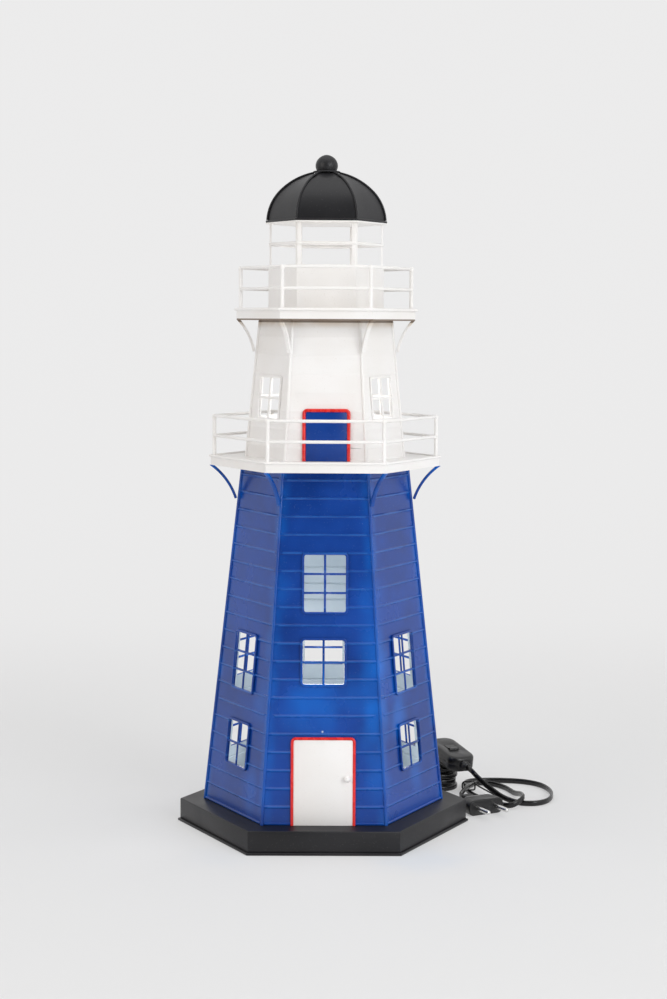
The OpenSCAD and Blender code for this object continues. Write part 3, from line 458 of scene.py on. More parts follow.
def ovalSection(name, thick, high, pinch, sides=18):
    clearSelection()
    section = bpy.data.curves.new(name, "CURVE")
    section.dimensions = "2D"
    spline = section.splines.new("POLY")
    spline.points.add(sides - 1)
    for k, point in enumerate(spline.points):
        angle = math.tau * (k + 0.5) / sides
        groove = 1 - pinch * math.exp(-(math.sin(angle) / 0.3) ** 2)
        point.co = (thick / 2 * mm * math.cos(angle) * groove, high / 2 * mm * math.sin(angle), 0, 1)
    spline.use_cyclic_u = True
    obj = bpy.data.objects.new(name, section)
    bpy.context.scene.collection.objects.link(obj)
    return obj


def sweptCord(name, route, thick, high, twist="Z_UP", pinch=0.22):
    section = ovalSection(name + "Section", thick, high, pinch)
    line = bpy.data.curves.new(name, "CURVE")
    line.dimensions = "3D"
    line.twist_mode = twist
    line.use_fill_caps = True
    line.bevel_mode = "OBJECT"
    line.bevel_object = section
    spline = line.splines.new("POLY")
    spline.points.add(len(route) - 1)
    for point, q in zip(spline.points, route):
        point.co = (q[0] * mm, q[1] * mm, q[2] * mm, 1)
    obj = bpy.data.objects.new(name, line)
    bpy.context.scene.collection.objects.link(obj)
    pick(obj)
    bpy.ops.object.convert(target="MESH")
    bpy.data.objects.remove(section)
    obj = bpy.context.object
    openMesh(obj, everything=True)
    weld()
    closeMesh()
    return smooth(obj, 60)


hankPhases = cordFacts["phases"]
hankLine = []
for phase in range(hankPhases):
    parts = 6 if phase % 2 == 0 else 12
    hankLine += [hankPoint(phase + i / parts) for i in range(parts)]
hankLine.append(hankPoint(hankPhases - 0.0001))
leadLine = smoothRoute(leadRoute + [hankLine[0]], 6)
riserLine = smoothRoute([hankLine[-1]] + riserRoute, 6)
supplyLine = leadLine[:-1] + hankLine[:-1] + riserLine
plugLine = smoothRoute(loopRoute, 6)
innerLine = smoothRoute(innerRoute, 5)
print("supply cord", round(routeLength(supplyLine)), "mm; plug cord", round(routeLength(plugLine)), "mm")


# Shader trees: small steps that name their inputs
def addNode(tree, kind, inputs=None, **settings):
    item = tree.nodes.new(kind if kind.startswith("NodeGroup") else "ShaderNode" + kind)
    for key, value in settings.items():
        setattr(item, key, value)
    for key, value in (inputs or {}).items():
        if isinstance(value, bpy.types.NodeSocket):
            tree.links.new(value, item.inputs[key])
        else:
            item.inputs[key].default_value = value
    return item


def calc(tree, operation, a, b, clamp=False):
    return addNode(tree, "Math", {0: a, 1: b}, operation=operation, use_clamp=clamp).outputs[0]


def times(tree, a, b):
    return calc(tree, "MULTIPLY", a, b)


def remap(tree, value, low, high, first=0.0, last=1.0):
    inputs = {"Value": value, "From Min": low, "From Max": high, "To Min": first, "To Max": last}
    return addNode(tree, "MapRange", inputs, interpolation_type="SMOOTHSTEP").outputs["Result"]


def noise(tree, vector, scale, detail=2.0, stretch=None):
    if stretch:
        vector = addNode(tree, "Mapping", {"Vector": vector, "Scale": stretch}).outputs["Vector"]
    return addNode(tree, "TexNoise", {"Vector": vector, "Scale": scale, "Detail": detail}).outputs["Fac"]


def blend(tree, mask, first, second):
    item = tree.nodes.new("ShaderNodeMix")
    item.data_type = "RGBA"
    tree.links.new(mask, item.inputs[0])
    for socket, value in ((item.inputs[6], first), (item.inputs[7], second)):
        if isinstance(value, bpy.types.NodeSocket):
            tree.links.new(value, socket)
        else:
            socket.default_value = (*value, 1)
    return item.outputs[2]


def objectPoint(tree):
    return addNode(tree, "TexCoord").outputs["Object"]


# Breakup of painted highlights and painted shade: a noise sharpened by a ramp; the facts hold both under the
# key's name
def paintedLightBreakup(tree, facts, key):
    grain = noise(tree, objectPoint(tree), *facts[key + "Noise"])
    return remap(tree, grain, *facts[key + "Wear"])


def newGroup(name, *outputs):
    tree = bpy.data.node_groups.new(name, "ShaderNodeTree")
    for output in outputs:
        tree.interface.new_socket(name=output, in_out="OUTPUT", socket_type="NodeSocketFloat")
    return tree


def closeGroup(tree, **values):
    addNode(tree, "NodeGroupOutput", values)
    return tree


def useGroup(tree, group):
    return addNode(tree, "Group", node_tree=group).outputs


# Sprayed film: orange peel of a fine and a coarse noise, cloudy variation, and specks of dust under it.
# A noise is its scale and detail.
filmFacts = {"fine": (520, 3), "fineShare": 0.6, "coarse": (120, 2), "cloud": (17, 4),
             "cloudRamp": (0.3, 0.7), "dust": (950, 0), "dustRamp": (0.74, 0.8)}


def sprayedFilm():
    facts = filmFacts
    tree = newGroup("sprayedFilm", "Peel", "Cloud", "Dust")
    point = objectPoint(tree)
    fine = times(tree, noise(tree, point, *facts["fine"]), facts["fineShare"])
    coarse = times(tree, noise(tree, point, *facts["coarse"]), 1 - facts["fineShare"])
    cloud = remap(tree, noise(tree, point, *facts["cloud"]), *facts["cloudRamp"])
    dust = remap(tree, noise(tree, point, *facts["dust"]), *facts["dustRamp"])
    return closeGroup(tree, Peel=calc(tree, "ADD", fine, coarse), Cloud=cloud, Dust=dust)


# Distance from the nearest corner of the six-sided plan, and the height, both in metres
def hexagonPlace():
    tree = newGroup("hexagonPlace", "Seam", "Height")
    parts = addNode(tree, "SeparateXYZ", {"Vector": objectPoint(tree)}).outputs
    turn = calc(tree, "ARCTAN2", parts["Y"], parts["X"])
    folded = calc(tree, "PINGPONG", times(tree, turn, 3 / math.pi), 0.5)
    flat = addNode(tree, "CombineXYZ", {"X": parts["X"], "Y": parts["Y"]}).outputs["Vector"]
    radius = addNode(tree, "VectorMath", {0: flat}, operation="LENGTH").outputs["Value"]
    seam = times(tree, times(tree, folded, math.pi / 3), radius)
    return closeGroup(tree, Seam=seam, Height=parts["Z"])


# Soft round patches, each with a place, a reach and a strength, in millimetres, and tall is how much further
# they run up and down. They carry the painted highlights on the blue, the painted light dots and the painted
# blue reflection on the floor.
def softPatches(tree, patches, ragged=25.0, tall=1.0):
    point = objectPoint(tree)
    edge = times(tree, calc(tree, "SUBTRACT", noise(tree, point, 38, 1), 0.5), ragged * mm)
    point = addNode(tree, "Mapping", {"Vector": point, "Scale": (1, 1, 1 / tall)}).outputs["Vector"]
    total = None
    for x, y, z, reach, strength in patches:
        inputs = {0: point, 1: (x * mm, y * mm, z / tall * mm)}
        away = addNode(tree, "VectorMath", inputs, operation="DISTANCE").outputs["Value"]
        near = remap(tree, calc(tree, "ADD", away, edge), 0.0, reach * mm, strength, 0)
        total = near if total is None else calc(tree, "ADD", total, near, True)
    return total


film = sprayedFilm()
hexPlace = hexagonPlace()


def newMaterial(name, **sockets):
    material = bpy.data.materials.new(name)
    material.use_nodes = True
    shader = material.node_tree.nodes["Principled BSDF"]
    for key, value in sockets.items():
        shader.inputs[key.replace("_", " ")].default_value = value
    return material, material.node_tree, shader


def setBump(tree, shader, height, strength, distance):
    bump = addNode(tree, "Bump", {"Height": height, "Strength": strength, "Distance": distance * mm})
    tree.links.new(bump.outputs["Normal"], shader.inputs["Normal"])


def feed(tree, shader, **values):
    for key, value in values.items():
        tree.links.new(value, shader.inputs[key.replace("_", " ")])


# A paint's facts: its two tones, the share and tint of its dust, and the ranges of roughness and peel
def dusted(tree, looks, colour, facts):
    share, tint = facts["dust"]
    return blend(tree, times(tree, looks["Dust"], share), colour, tint)


def sealFilm(tree, shader, looks, colour, facts):
    feed(tree, shader, Base_Color=colour, Roughness=remap(tree, looks["Cloud"], 0, 1, *facts["rough"]))
    setBump(tree, shader, looks["Peel"], *facts["peel"])


# Blue: a dark film with painted highlights in brighter cyan over the seams, at the bracket tops under the
# gallery and in soft patches on the front faces.
# A ramp is two places in metres, or two levels of noise, and the strength at each.
blueFacts = {
    "tones": ((0.002, 0.034, 0.215), (0.002, 0.054, 0.33)), "dust": (0.08, (0.2, 0.3, 0.45)),
    "rough": (0.2, 0.28), "peel": (0.08, 0.12), "specular": 0.42,
    "bright": (0.0, 0.17, 0.7),
    "seamHighlight": (0.001, 0.009, 0.3, 0), "seamNoise": (28, 2), "seamWear": (0.35, 0.62),
    "bracketHighlight": (0.296, 0.304, 0, 0.55), "bracketFade": (0.002, 0.004, 1, 0),
    "ridge": (0.018, 0.12, 0.46), "ridgeZ": 19.6, "ridgePitch": 14.612, "ridgeTop": 306,
    "ridgeLine": (0.0003, 0.0013, 1, 0), "ridgeEnd": (0.003, 0.0045),
    "ridgeNoise": (70, 2), "ridgeWear": (0.3, 0.6, 0.35, 0.75),
    # Painted highlight patches on the front faces
    "patches": [(-6, -78, 121, 25, 0.45), (-20, -79, 112, 18, 0.25), (41, -73, 168, 22, 0.42),
                (43, -72, 140, 20, 0.42), (40, -68, 208, 16, 0.22), (47, -75, 108, 20, 0.45),
                (60, -54, 102, 22, 0.45), (-39, -68, 205, 15, 0.22), (-42, -72, 160, 15, 0.25),
                (-50, -68, 118, 18, 0.2), (76, -36, 53, 16, 0.3), (-60, -65, 43, 14, 0.2),
                (47, -82, 60, 17, 0.35), (22, -79, 128, 16, 0.2), (56, -58, 130, 14, 0.25),
                (34, -80, 88, 14, 0.2)],
    "patchEdge": 22, "patchTall": 1.7, "lightDotEdge": 0.6,
    # Painted light dots: place, reach and strength of each
    "lightDots": [(-1.5, -80.5, 95, 1.3, 1), (-32.5, -87.5, 28.7, 1.1, 0.6)], "lightDotTone": (0.75, 0.78, 0.8),
}


def makeBluePaint():
    facts = blueFacts
    material, tree, shader = newMaterial("bluePaint", Specular_IOR_Level=facts["specular"])
    looks, places = useGroup(tree, film), useGroup(tree, hexPlace)
    seam, height = places["Seam"], places["Height"]
    colour = blend(tree, looks["Cloud"], *facts["tones"])
    # Painted highlights: brighter cyan along the seams, at the bracket tops and in the listed patches
    seamHighlight = times(tree, remap(tree, seam, *facts["seamHighlight"]), paintedLightBreakup(tree, facts, "seam"))
    bracketHighlight = remap(tree, height, *facts["bracketHighlight"])
    bracketHighlight = times(tree, bracketHighlight, remap(tree, seam, *facts["bracketFade"]))
    edgeHighlight = calc(tree, "MAXIMUM", seamHighlight, bracketHighlight)
    patches = softPatches(tree, facts["patches"], facts["patchEdge"], facts["patchTall"])
    highlight = calc(tree, "MAXIMUM", patches, edgeHighlight, True)
    colour = blend(tree, highlight, colour, facts["bright"])
    # A painted highlight line along each pressed board ridge, short of the seams and broken up by noise
    aboveFoot = calc(tree, "SUBTRACT", height, facts["ridgeZ"] * mm)
    fromRidge = calc(tree, "PINGPONG", aboveFoot, facts["ridgePitch"] / 2 * mm)
    ridge = times(tree, remap(tree, fromRidge, *facts["ridgeLine"]), remap(tree, seam, *facts["ridgeEnd"]))
    ridge = times(tree, ridge, paintedLightBreakup(tree, facts, "ridge"))
    ridge = times(tree, ridge, calc(tree, "LESS_THAN", height, facts["ridgeTop"] * mm))
    colour = dusted(tree, looks, blend(tree, ridge, colour, facts["ridge"]), facts)
    # Two small painted light dots on the front, one above the door and one beside its foot
    colour = blend(tree, softPatches(tree, facts["lightDots"], facts["lightDotEdge"]), colour, facts["lightDotTone"])
    sealFilm(tree, shader, looks, colour, facts)
    return material


# Bare sheet inside the walls: pale, slightly blue, with faint spangles
innerFacts = {"tones": ((0.31, 0.37, 0.42), (0.38, 0.44, 0.49)), "rough": (0.42, 0.55), "peel": (0.05, 0.1),
              "spangle": (0.45, 0.5, 0.54), "spangleScale": 260.0, "share": 0.12}


def makeInnerSheet():
    material, tree, shader = newMaterial("innerSheet")
    looks = useGroup(tree, film)
    colour = blend(tree, looks["Cloud"], *innerFacts["tones"])
    inputs = {"Vector": objectPoint(tree), "Scale": innerFacts["spangleScale"]}
    cells = addNode(tree, "TexVoronoi", inputs).outputs["Color"]
    level = addNode(tree, "SeparateColor", {"Color": cells}).outputs["Red"]
    colour = blend(tree, times(tree, level, innerFacts["share"]), colour, innerFacts["spangle"])
    feed(tree, shader, Base_Color=colour, Roughness=remap(tree, level, 0, 1, *innerFacts["rough"]))
    setBump(tree, shader, looks["Peel"], *innerFacts["peel"])
    return material


# White: warm film, cloudy, with painted shade in tan and a dark painted shadow line close under the upper
# gallery
whiteFacts = {
    "tones": ((0.84, 0.815, 0.79), (0.87, 0.855, 0.845)), "dust": (0.12, (0.5, 0.42, 0.33)),
    "rough": (0.36, 0.46), "peel": (0.1, 0.15),
    "tan": (0.62, 0.52, 0.42), "tanFoot": (0.4185, 0.4245), "tanHead": (0.4262, 0.433, 1, 0.2),
    "tanNoise": (60, 2), "tanWear": (0.25, 0.6, 0.35, 0.8),
    "line": (0.12, 0.075, 0.045), "shadowLineFoot": (0.4238, 0.4246, 0, 0.85),
    "galleryFoot": 427.2,
}


def makeWhitePaint():
    facts = whiteFacts
    material, tree, shader = newMaterial("whitePaint")
    looks, height = useGroup(tree, film), useGroup(tree, hexPlace)["Height"]
    colour = blend(tree, looks["Cloud"], *facts["tones"])
    # Painted shade in tan and a painted shadow line just under the upper gallery's band
    tan = times(tree, remap(tree, height, *facts["tanFoot"]), remap(tree, height, *facts["tanHead"]))
    tan = times(tree, tan, paintedLightBreakup(tree, facts, "tan"))
    beneath = calc(tree, "LESS_THAN", height, facts["galleryFoot"] * mm)
    colour = blend(tree, times(tree, tan, beneath), colour, facts["tan"])
    line = times(tree, remap(tree, height, *facts["shadowLineFoot"]), beneath)
    colour = dusted(tree, looks, blend(tree, line, colour, facts["line"]), facts)
    sealFilm(tree, shader, looks, colour, facts)
    return material


blackFacts = {"tones": ((0.0075, 0.0073, 0.009), (0.0125, 0.0122, 0.0145)), "rough": (0.36, 0.47),
              "peel": (0.3, 0.2), "dust": (0.35, (0.06, 0.058, 0.056)), "specular": 0.4}


def makeBlackPaint():
    material, tree, shader = newMaterial("blackPaint", Specular_IOR_Level=blackFacts["specular"])
    looks = useGroup(tree, film)
    colour = dusted(tree, looks, blend(tree, looks["Cloud"], *blackFacts["tones"]), blackFacts)
    sealFilm(tree, shader, looks, colour, blackFacts)
    return material


# Finishes of one noise: the mask is its scale, detail and stretch, with the ramp that sharpens it. It mixes
# the tones and sets the roughness; the bump is a second noise's scale, with its strength and depth.
grainedFacts = {
    "redPaint": {"mask": (150, 3, (1, 1, 0.4)), "ramp": (0.3, 0.7), "rough": (0, 1, 0.2, 0.32),
                 "tones": ((0.62, 0.008, 0.008), (0.78, 0.022, 0.016)), "bump": (330, 0.25, 0.3)},
    "platedSteel": {"mask": (90, 3, (1, 1, 14)), "rough": (0.3, 0.7, 0.18, 0.34),
                    "tones": ((0.66, 0.655, 0.64), (0.84, 0.835, 0.82)), "bump": (600, 0.08, 0.05),
                    "sockets": {"Metallic": 1.0}},
    "opalGlass": {"mask": (30, 3), "ramp": (0.3, 0.7), "rough": (0, 1, 0.1, 0.16),
                  "tones": ((0.86, 0.86, 0.83), (0.92, 0.92, 0.9)),
                  "sockets": {"Coat Weight": 0.6, "Coat Roughness": 0.04}},
    "blackPlastic": {"mask": (70, 4), "ramp": (0.45, 0.75), "rough": (0, 1, 0.29, 0.42),
                     "tones": ((0.007, 0.0068, 0.0075), (0.015, 0.0148, 0.016)), "bump": (900, 0.4, 0.25)},
    "cordJacket": {"mask": (70, 4), "ramp": (0.45, 0.75), "rough": (0, 1, 0.22, 0.35),
                   "tones": ((0.0045, 0.0044, 0.005), (0.009, 0.0088, 0.0095)), "bump": (500, 0.4, 0.05)},
}


def makeGrained(name):
    facts = grainedFacts[name]
    material, tree, shader = newMaterial(name, **facts.get("sockets", {}))
    point = objectPoint(tree)
    mask = noise(tree, point, *facts["mask"])
    if "ramp" in facts:
        mask = remap(tree, mask, *facts["ramp"])
    feed(tree, shader, Base_Color=blend(tree, mask, *facts["tones"]),
         Roughness=remap(tree, mask, *facts["rough"]))
    if "bump" in facts:
        scale, strength, depth = facts["bump"]
        setBump(tree, shader, noise(tree, point, scale), strength, depth)
    return material


innerSheet = makeInnerSheet()
finishes = {
    "blue_paint": makeBluePaint(), "white_paint": makeWhitePaint(), "black_paint": makeBlackPaint(),
    "red_paint": makeGrained("redPaint"), "plated_steel": makeGrained("platedSteel"),
    "opal_glass": makeGrained("opalGlass"), "black_plastic": makeGrained("blackPlastic"),
    "cord_jacket": makeGrained("cordJacket"),
}
print("materials done")


def layCord(name, line, nodes, twist="Z_UP"):
    cord = sweptCord(name, line, cordFacts["thickness"], cordFacts["width"], twist)
    return finish(cord, "cord_jacket", *nodes)


supplyCord = layCord("supplyCord", supplyLine, ["cord_lead", "cord_hank", "cord_riser"])
plugCord = layCord("plugCord", plugLine, ["cord_loops"])
layCord("innerLead", innerLine, ["inner_lead"], "MINIMUM")

# Cord ties: a flat band round the hank's waist and a twisted wire tie on the near strands
tieFacts = {"band": 4, "sheet": 0.5, "slack": 0.4, "lift": 0.15, "corner": 3.2, "wire": 1.4}


def hankBand():
    facts, t = tieFacts, tieFacts["sheet"]
    half = cordFacts["radius"] - cordFacts["waist"] + cordFacts["thickness"] / 2 + facts["slack"]
    top = hankLine[-1].z + cordFacts["width"] / 2 + facts["slack"]
    obj = plainBox("hankBand", facts["band"], 2 * (half + t), top + t)
    move(0, 0, (top + t) / 2 + facts["lift"])
    selectFaces(obj, lambda c, n: abs(n.x) > 0.9)
    bpy.ops.mesh.delete(type="FACE")
    selectAll("EDGE")
    mesh = bmesh.from_edit_mesh(obj.data)
    for edge in mesh.edges:
        edge.select = abs(edge.verts[0].co.x - edge.verts[1].co.x) > 1e-5
    bmesh.update_edit_mesh(obj.data)
    bpy.ops.mesh.bevel(offset=facts["corner"] * mm, segments=6)
    closeMesh()
    modify(obj, "SOLIDIFY", thickness=t * mm, offset=-1)
    place(obj, shifted(*cordFacts["hankCentre"]) @ turned(cordFacts["hankAngle"]))
    return smooth(obj)


wireTie = sweptCord("wireTie", smoothRoute(wireRoute, 5), tieFacts["wire"], tieFacts["wire"], "MINIMUM", 0)
cordTies = finish(joined([hankBand(), wireTie], "cordTies"), "black_plastic", "cord_ties")

# Gland where the cord leaves the tray
glandFacts = {"y": 105.655, "z": 10.5, "tail": 22, "ribs": 5}


def cordGland():
    tail = glandFacts["tail"]
    profile = [(2.5, -4), (7, -4), (7, -1), (5.8, -1), (5.8, 0), (7.6, 0), (8, 0.4), (8, 1.8), (7.4, 2.4),
               (5.2, 2.4), (4.9, 3.4)]
    for k in range(glandFacts["ribs"]):
        z = 5.5 + 3 * k
        r = 4.9 - 1.5 * (z - 2.4) / tail
        profile += [(r - 0.5, z), (r - 0.5, z + 0.8), (r, z + 1), (r - 0.05, z + 2.6)]
    profile += [(3.45, 2.4 + tail - 0.5), (3.1, 2.4 + tail), (2.5, 2.4 + tail)]
    obj = turnedProfile("cordGland", profile, 32)
    place(obj, shifted(0, glandFacts["y"], glandFacts["z"]) @ tipped("X", -math.pi / 2))
    return smooth(obj)


gland = finish(cordGland(), "black_plastic", "cord_gland")

# Base tray: a folded hexagonal pan with a rolled hem and a low seat for the walls round its opening
baseFacts = {"r": 122, "h": 19.6, "sheet": 1, "hem": 2.4, "opening": 54, "fold": 1.2, "edge": 0.3,
             "seat": 21, "seatR": 54}


def baseTray():
    facts = baseFacts
    r, h, fold, seat = facts["r"], facts["h"], facts["fold"], facts["seat"]
    profile = [(r, fold), (r, h - fold)]
    profile += [onArc(fold, a, r - fold, h - fold) for a in (30, 60, 90)]
    profile += [(facts["seatR"] + 2, h), (facts["seatR"], seat), (20, seat)]
    obj = turnedProfile("baseTray", profile, 6)
    modify(obj, "SOLIDIFY", thickness=facts["sheet"] * mm, offset=-1)
    cutRound(obj, facts["opening"] / 2, (0, 0, seat), 10, 96)
    roundEdges(obj, facts["edge"])
    hem = rodRing("baseHem", r + facts["hem"] * 0.3 / cos30, facts["hem"] / 2, facts["hem"], 16)
    return joined([obj, hem], "baseTray")


# A ring of points standing at a corner, carried round the six sides as a mitred rod
def hexRod(obj):
    openMesh(obj, "VERT", everything=True)
    spin(6, math.tau)
    weld()
    closeMesh()
    return smooth(obj)


def rodRing(name, radius, z, diameter, sides=14):
    clearSelection()
    bpy.ops.mesh.primitive_circle_add(vertices=sides, radius=diameter / 2 * mm)
    obj = named(name)
    place(obj, shifted(radius, 0, z) @ Matrix.Diagonal((1 / cos30, 1, 1, 1)) @ tipped("X", math.pi / 2))
    return hexRod(obj)


finish(baseTray(), "black_paint", "base_tray")
print("base and cords done")

# Walls: boards pressed into a sheet, with openings for the windows
wallFacts = {
    "sheet": 1, "margin": 3.2, "frame": 2, "roll": 2.4, "rollSunk": 0.15,
    "pitch": {"tower": 14.68, "upper": 15}, "start": {"tower": 0.2, "upper": -4.6}, "topGap": 4.2,
    "beadHalf": 1.35, "beadInset": 1.0, "beadProud": {"tower": 0.9, "upper": 0.4}, "beadEnd": 0.75,
    "sillGap": 0.6, "beadClear": 0.85, "cutPast": 4, "rollShort": 2, "near": 0.05, "skin": 0.2,
}
windowFacts = {
    "towerFront": [(0, 195.6, 33.6, 46, 3), (-0.9, 131.9, 33.6, 35.4, 2)],
    "towerSide": [(0, 125.4, 33.6, 46, 3), (0, 57, 33.6, 35.4, 2)],
    "upper": [(0, 50.2, 33.5, 33, 2)],
    "rim": 2, "proud": {"tower": 2, "upper": 1.3}, "bar": 1.9, "barThick": 1.2,
    "innerRound": {"tower": 1.6, "upper": 0.6}, "rimEdge": 0.55, "barEdge": 0.4,
}
doorFacts = {
    "tower": {"x": -0.8, "w": 52.6, "h": 71.4, "bead": 2.4, "leaf": 1.2, "round": 4},
    "upper": {"x": 0.5, "w": 39, "h": 42.6, "bead": 2.8, "leaf": 1.2, "round": 4},
    "beadUp": 0.92, "edge": 0.2, "knobIn": 6.8, "knobUp": 0.53,
}


def wallPanel(storey, face, windows, door, outside, inside):
    facts = wallFacts
    sizes = storeys[storey]
    length = slopeLength(storey)
    footHalf, topHalf, near = sizes["foot"] / 2, sizes["top"] / 2, facts["near"]

    def half(y):
        return footHalf + (topHalf - footHalf) * y / length

    obj = flatSheet(storey + "Panel" + str(face), 2 * footHalf, length)
    move(0, length / 2)
    selectVerts(obj, lambda c: c.y > length / 2)
    resize(topHalf / footHalf, center_override=(0, length * mm, 0))
    bpy.ops.mesh.select_mode(type="FACE")
    pitch, start = facts["pitch"][storey], facts["start"][storey]
    beads = [start + pitch * k for k in range(1, int((length - start - facts["topGap"]) // pitch) + 1)]
    sills = [y + s * h / 2 for x, y, w, h, _ in windows for s in (-1, 1)]
    rows = [y + s * facts["beadHalf"] for y in beads for s in (-1, 1)]
    rows = sills + [y for y in rows if all(abs(y - sill) > facts["sillGap"] for sill in sills)]
    for y in sorted(rows):
        cutAll((0, y, 0), (0, 1, 0))
    for side in (-1, 1):
        cutAll((side * (footHalf - facts["margin"]), 0, 0), (length, side * (footHalf - topHalf), 0))
    blocks = [(x, y, w, h, facts["frame"]) for x, y, w, h, _ in windows]
    if door:
        blocks.append((door["x"], door["h"] / 2, door["w"] - door["bead"], door["h"] - door["bead"], 0))
    for x, y, w, h, grow in blocks:
        for edge in (x - w / 2 - grow / 2, x - w / 2, x + w / 2, x + w / 2 + grow / 2):
            selectFaces(obj, lambda c, n: abs(c.y - y) < h / 2 + facts["cutPast"])
            bpy.ops.mesh.bisect(plane_co=(edge * mm, 0, 0), plane_no=(1, 0, 0))

    def onBead(c, n):
        bead = min(beads, key=lambda y: abs(y - c.y))
        if abs(c.y - bead) > facts["beadHalf"] - 2 * near or abs(c.x) > half(c.y) - facts["margin"] - near:
            return False
        return not any(abs(bead - y) < h / 2 + grow + facts["beadClear"] and abs(c.x - x) < w / 2 + grow / 2
                       for x, y, w, h, grow in blocks)

    if storey == "tower":
        selectVerts(obj, lambda c: abs(abs(c.x) - half(c.y) + facts["margin"]) < near
                    and min(abs(abs(c.y - y) - facts["beadHalf"]) for y in beads) < near)
        roundCorners(facts["beadEnd"])
        bpy.ops.mesh.select_mode(type="FACE")
    selectFaces(obj, onBead)
    bpy.ops.mesh.inset(thickness=facts["beadInset"] * mm, depth=facts["beadProud"][storey] * mm,
                       use_boundary=True, use_even_offset=True)
    if windows:
        selectFaces(obj, lambda c, n: any(abs(c.x - x) < w / 2 and abs(c.y - y) < h / 2
                                          for x, y, w, h, _ in windows))
        bpy.ops.mesh.delete(type="FACE")
    closeMesh()
    obj.data.materials.append(outside)
    obj.data.materials.append(inside)
    modify(obj, "SOLIDIFY", thickness=facts["sheet"] * mm, offset=-1, use_even_offset=True,
           material_offset=1)
    openMesh(obj, "VERT")
    for side in (-1, 1):
        selectVerts(obj, lambda c: side * c.x > half(c.y) - facts["skin"] and c.z < -facts["skin"])
        move(-side * facts["sheet"] * math.tan(math.radians(30)))
    closeMesh()
    smooth(obj, 24)
    if storey == "tower":
        obj = joined([obj] + footRolls(door, outside), obj.name)
    return place(obj, faceMatrix(storey, face))


# The rolled edge along a lower panel's foot, on both sides of a door where there is one
def footRolls(door, paint):
    radius = wallFacts["roll"] / 2
    half = storeys["tower"]["foot"] / 2 - wallFacts["rollShort"]
    runs = [(-half, half)]
    if door:
        runs = [(-half, door["x"] - door["w"] / 2), (door["x"] + door["w"] / 2, half)]
    rolls = []
    for left, right in runs:
        clearSelection()
        bpy.ops.mesh.primitive_cylinder_add(vertices=16, radius=radius * mm, depth=(right - left) * mm,
                                            rotation=(0, math.pi / 2, 0))
        roll = place(named("footRoll"), shifted((left + right) / 2, radius, -wallFacts["rollSunk"]))
        roll.data.materials.append(paint)
        rolls.append(smooth(roll))
    return rolls


walls = [("tower", "blue_paint", innerSheet), ("upper", "white_paint", finishes["white_paint"])]
for face, faceName in enumerate(faceNames):
    for storey, slot, inside in walls:
        if storey == "tower":
            windows = windowFacts["towerSide" if face else "towerFront"]
        else:
            windows = windowFacts["upper"] if face else []
        door = None if face else doorFacts[storey]
        panel = wallPanel(storey, face, windows, door, finishes[slot], inside)
        finish(panel, slot, storey + "_panel_" + faceName, coated=True)
print("walls done")


def cornerSeams(storey, diameter=2.8, buried=0.7):
    sizes = storeys[storey]
    lean = math.atan((sizes["foot"] - sizes["top"]) / sizes["height"])
    length = math.hypot(sizes["height"], sizes["foot"] - sizes["top"])
    clearSelection()
    bpy.ops.mesh.primitive_cylinder_add(vertices=20, radius=diameter / 2 * mm, depth=length * mm,
                                        location=(0, 0, length / 2 * mm))
    obj = named(storey + "Seams")
    bpy.ops.object.transform_apply(location=True)
    place(obj, shifted(sizes["foot"], 0, sizes["z"]) @ tipped("Y", -lean))
    openMesh(obj, everything=True)
    cutAll((sizes["foot"] - buried, 0, sizes["z"]), (math.cos(lean), 0, math.sin(lean)),
           clear_inner=True, use_fill=True)
    closeMesh()
    smooth(obj)
    return sixOf(obj, storey + "Seams")


finish(cornerSeams("tower"), "blue_paint", "tower_seams")
finish(cornerSeams("upper"), "white_paint", "upper_seams")


# A raised frame with rounded corners and its glazing bars, drawn flat on the wall
def windowFrame(name, storey, x, y, w, h, rows):
    facts = windowFacts
    rim = facts["rim"]
    obj = flatSheet(name, w + 2 * rim, h + 2 * rim, "VERT")
    roundCorners(facts["innerRound"][storey] + rim, 6)
    selectAll("FACE")
    bpy.ops.mesh.inset(thickness=rim * mm, use_even_offset=True)
    bpy.ops.mesh.delete(type="FACE")
    selectAll()
    extrude(z=facts["proud"][storey])
    faceOutwards()
    closeMesh()
    roundEdges(obj, facts["rimEdge"], 3)
    bars = [(facts["bar"], h + rim, 0, 0)]
    bars += [(w + rim, facts["bar"], 0, h * k / rows - h / 2) for k in range(1, rows)]
    parts = [obj]
    for wide, high, cx, cy in bars:
        bar = plainBox("bar", wide, high, facts["barThick"])
        move(cx, cy, facts["barThick"] / 2)
        closeMesh()
        parts.append(roundEdges(bar, facts["barEdge"]))
    return place(joined(parts, name), shifted(x, y))


def windowRow(name, storey, cuts):
    frames = []
    masters = {}
    for face, cut in cuts:
        if cut not in masters:
            masters[cut] = windowFrame("windowMaster", storey, *cut)
        frames.append(copyOf(masters[cut], faceMatrix(storey, face)))
    for master in masters.values():
        bpy.data.objects.remove(master)
    return joined(frames, name)


for row, name in enumerate(["tall", "low"]):
    cuts = [(face, windowFacts["towerSide" if face else "towerFront"][row]) for face in range(6)]
    frames = windowRow("tower" + name.title() + "Windows", "tower", cuts)
    finish(frames, "blue_paint", "tower_" + name + "_windows")
frames = windowRow("upperWindows", "upper", [(face, windowFacts["upper"][0]) for face in range(1, 6)])
finish(frames, "white_paint", "upper_windows")
print("windows done")


# Door: a leaf with rounded top corners and a bead bent round it as an upturned U
def doorLeaf(name, storey):
    door = doorFacts[storey]
    w, h = door["w"] - door["bead"], door["h"] - door["bead"] / 2
    obj = flatSheet(name, w, h)
    move(door["x"], h / 2)
    selectVerts(obj, lambda c: c.y > h / 2)
    roundCorners(door["round"] - door["bead"] / 2, 6)
    selectAll("FACE")
    extrude(z=door["leaf"])
    faceOutwards()
    closeMesh()
    roundEdges(obj, doorFacts["edge"])
    return place(obj, faceMatrix(storey, 0))


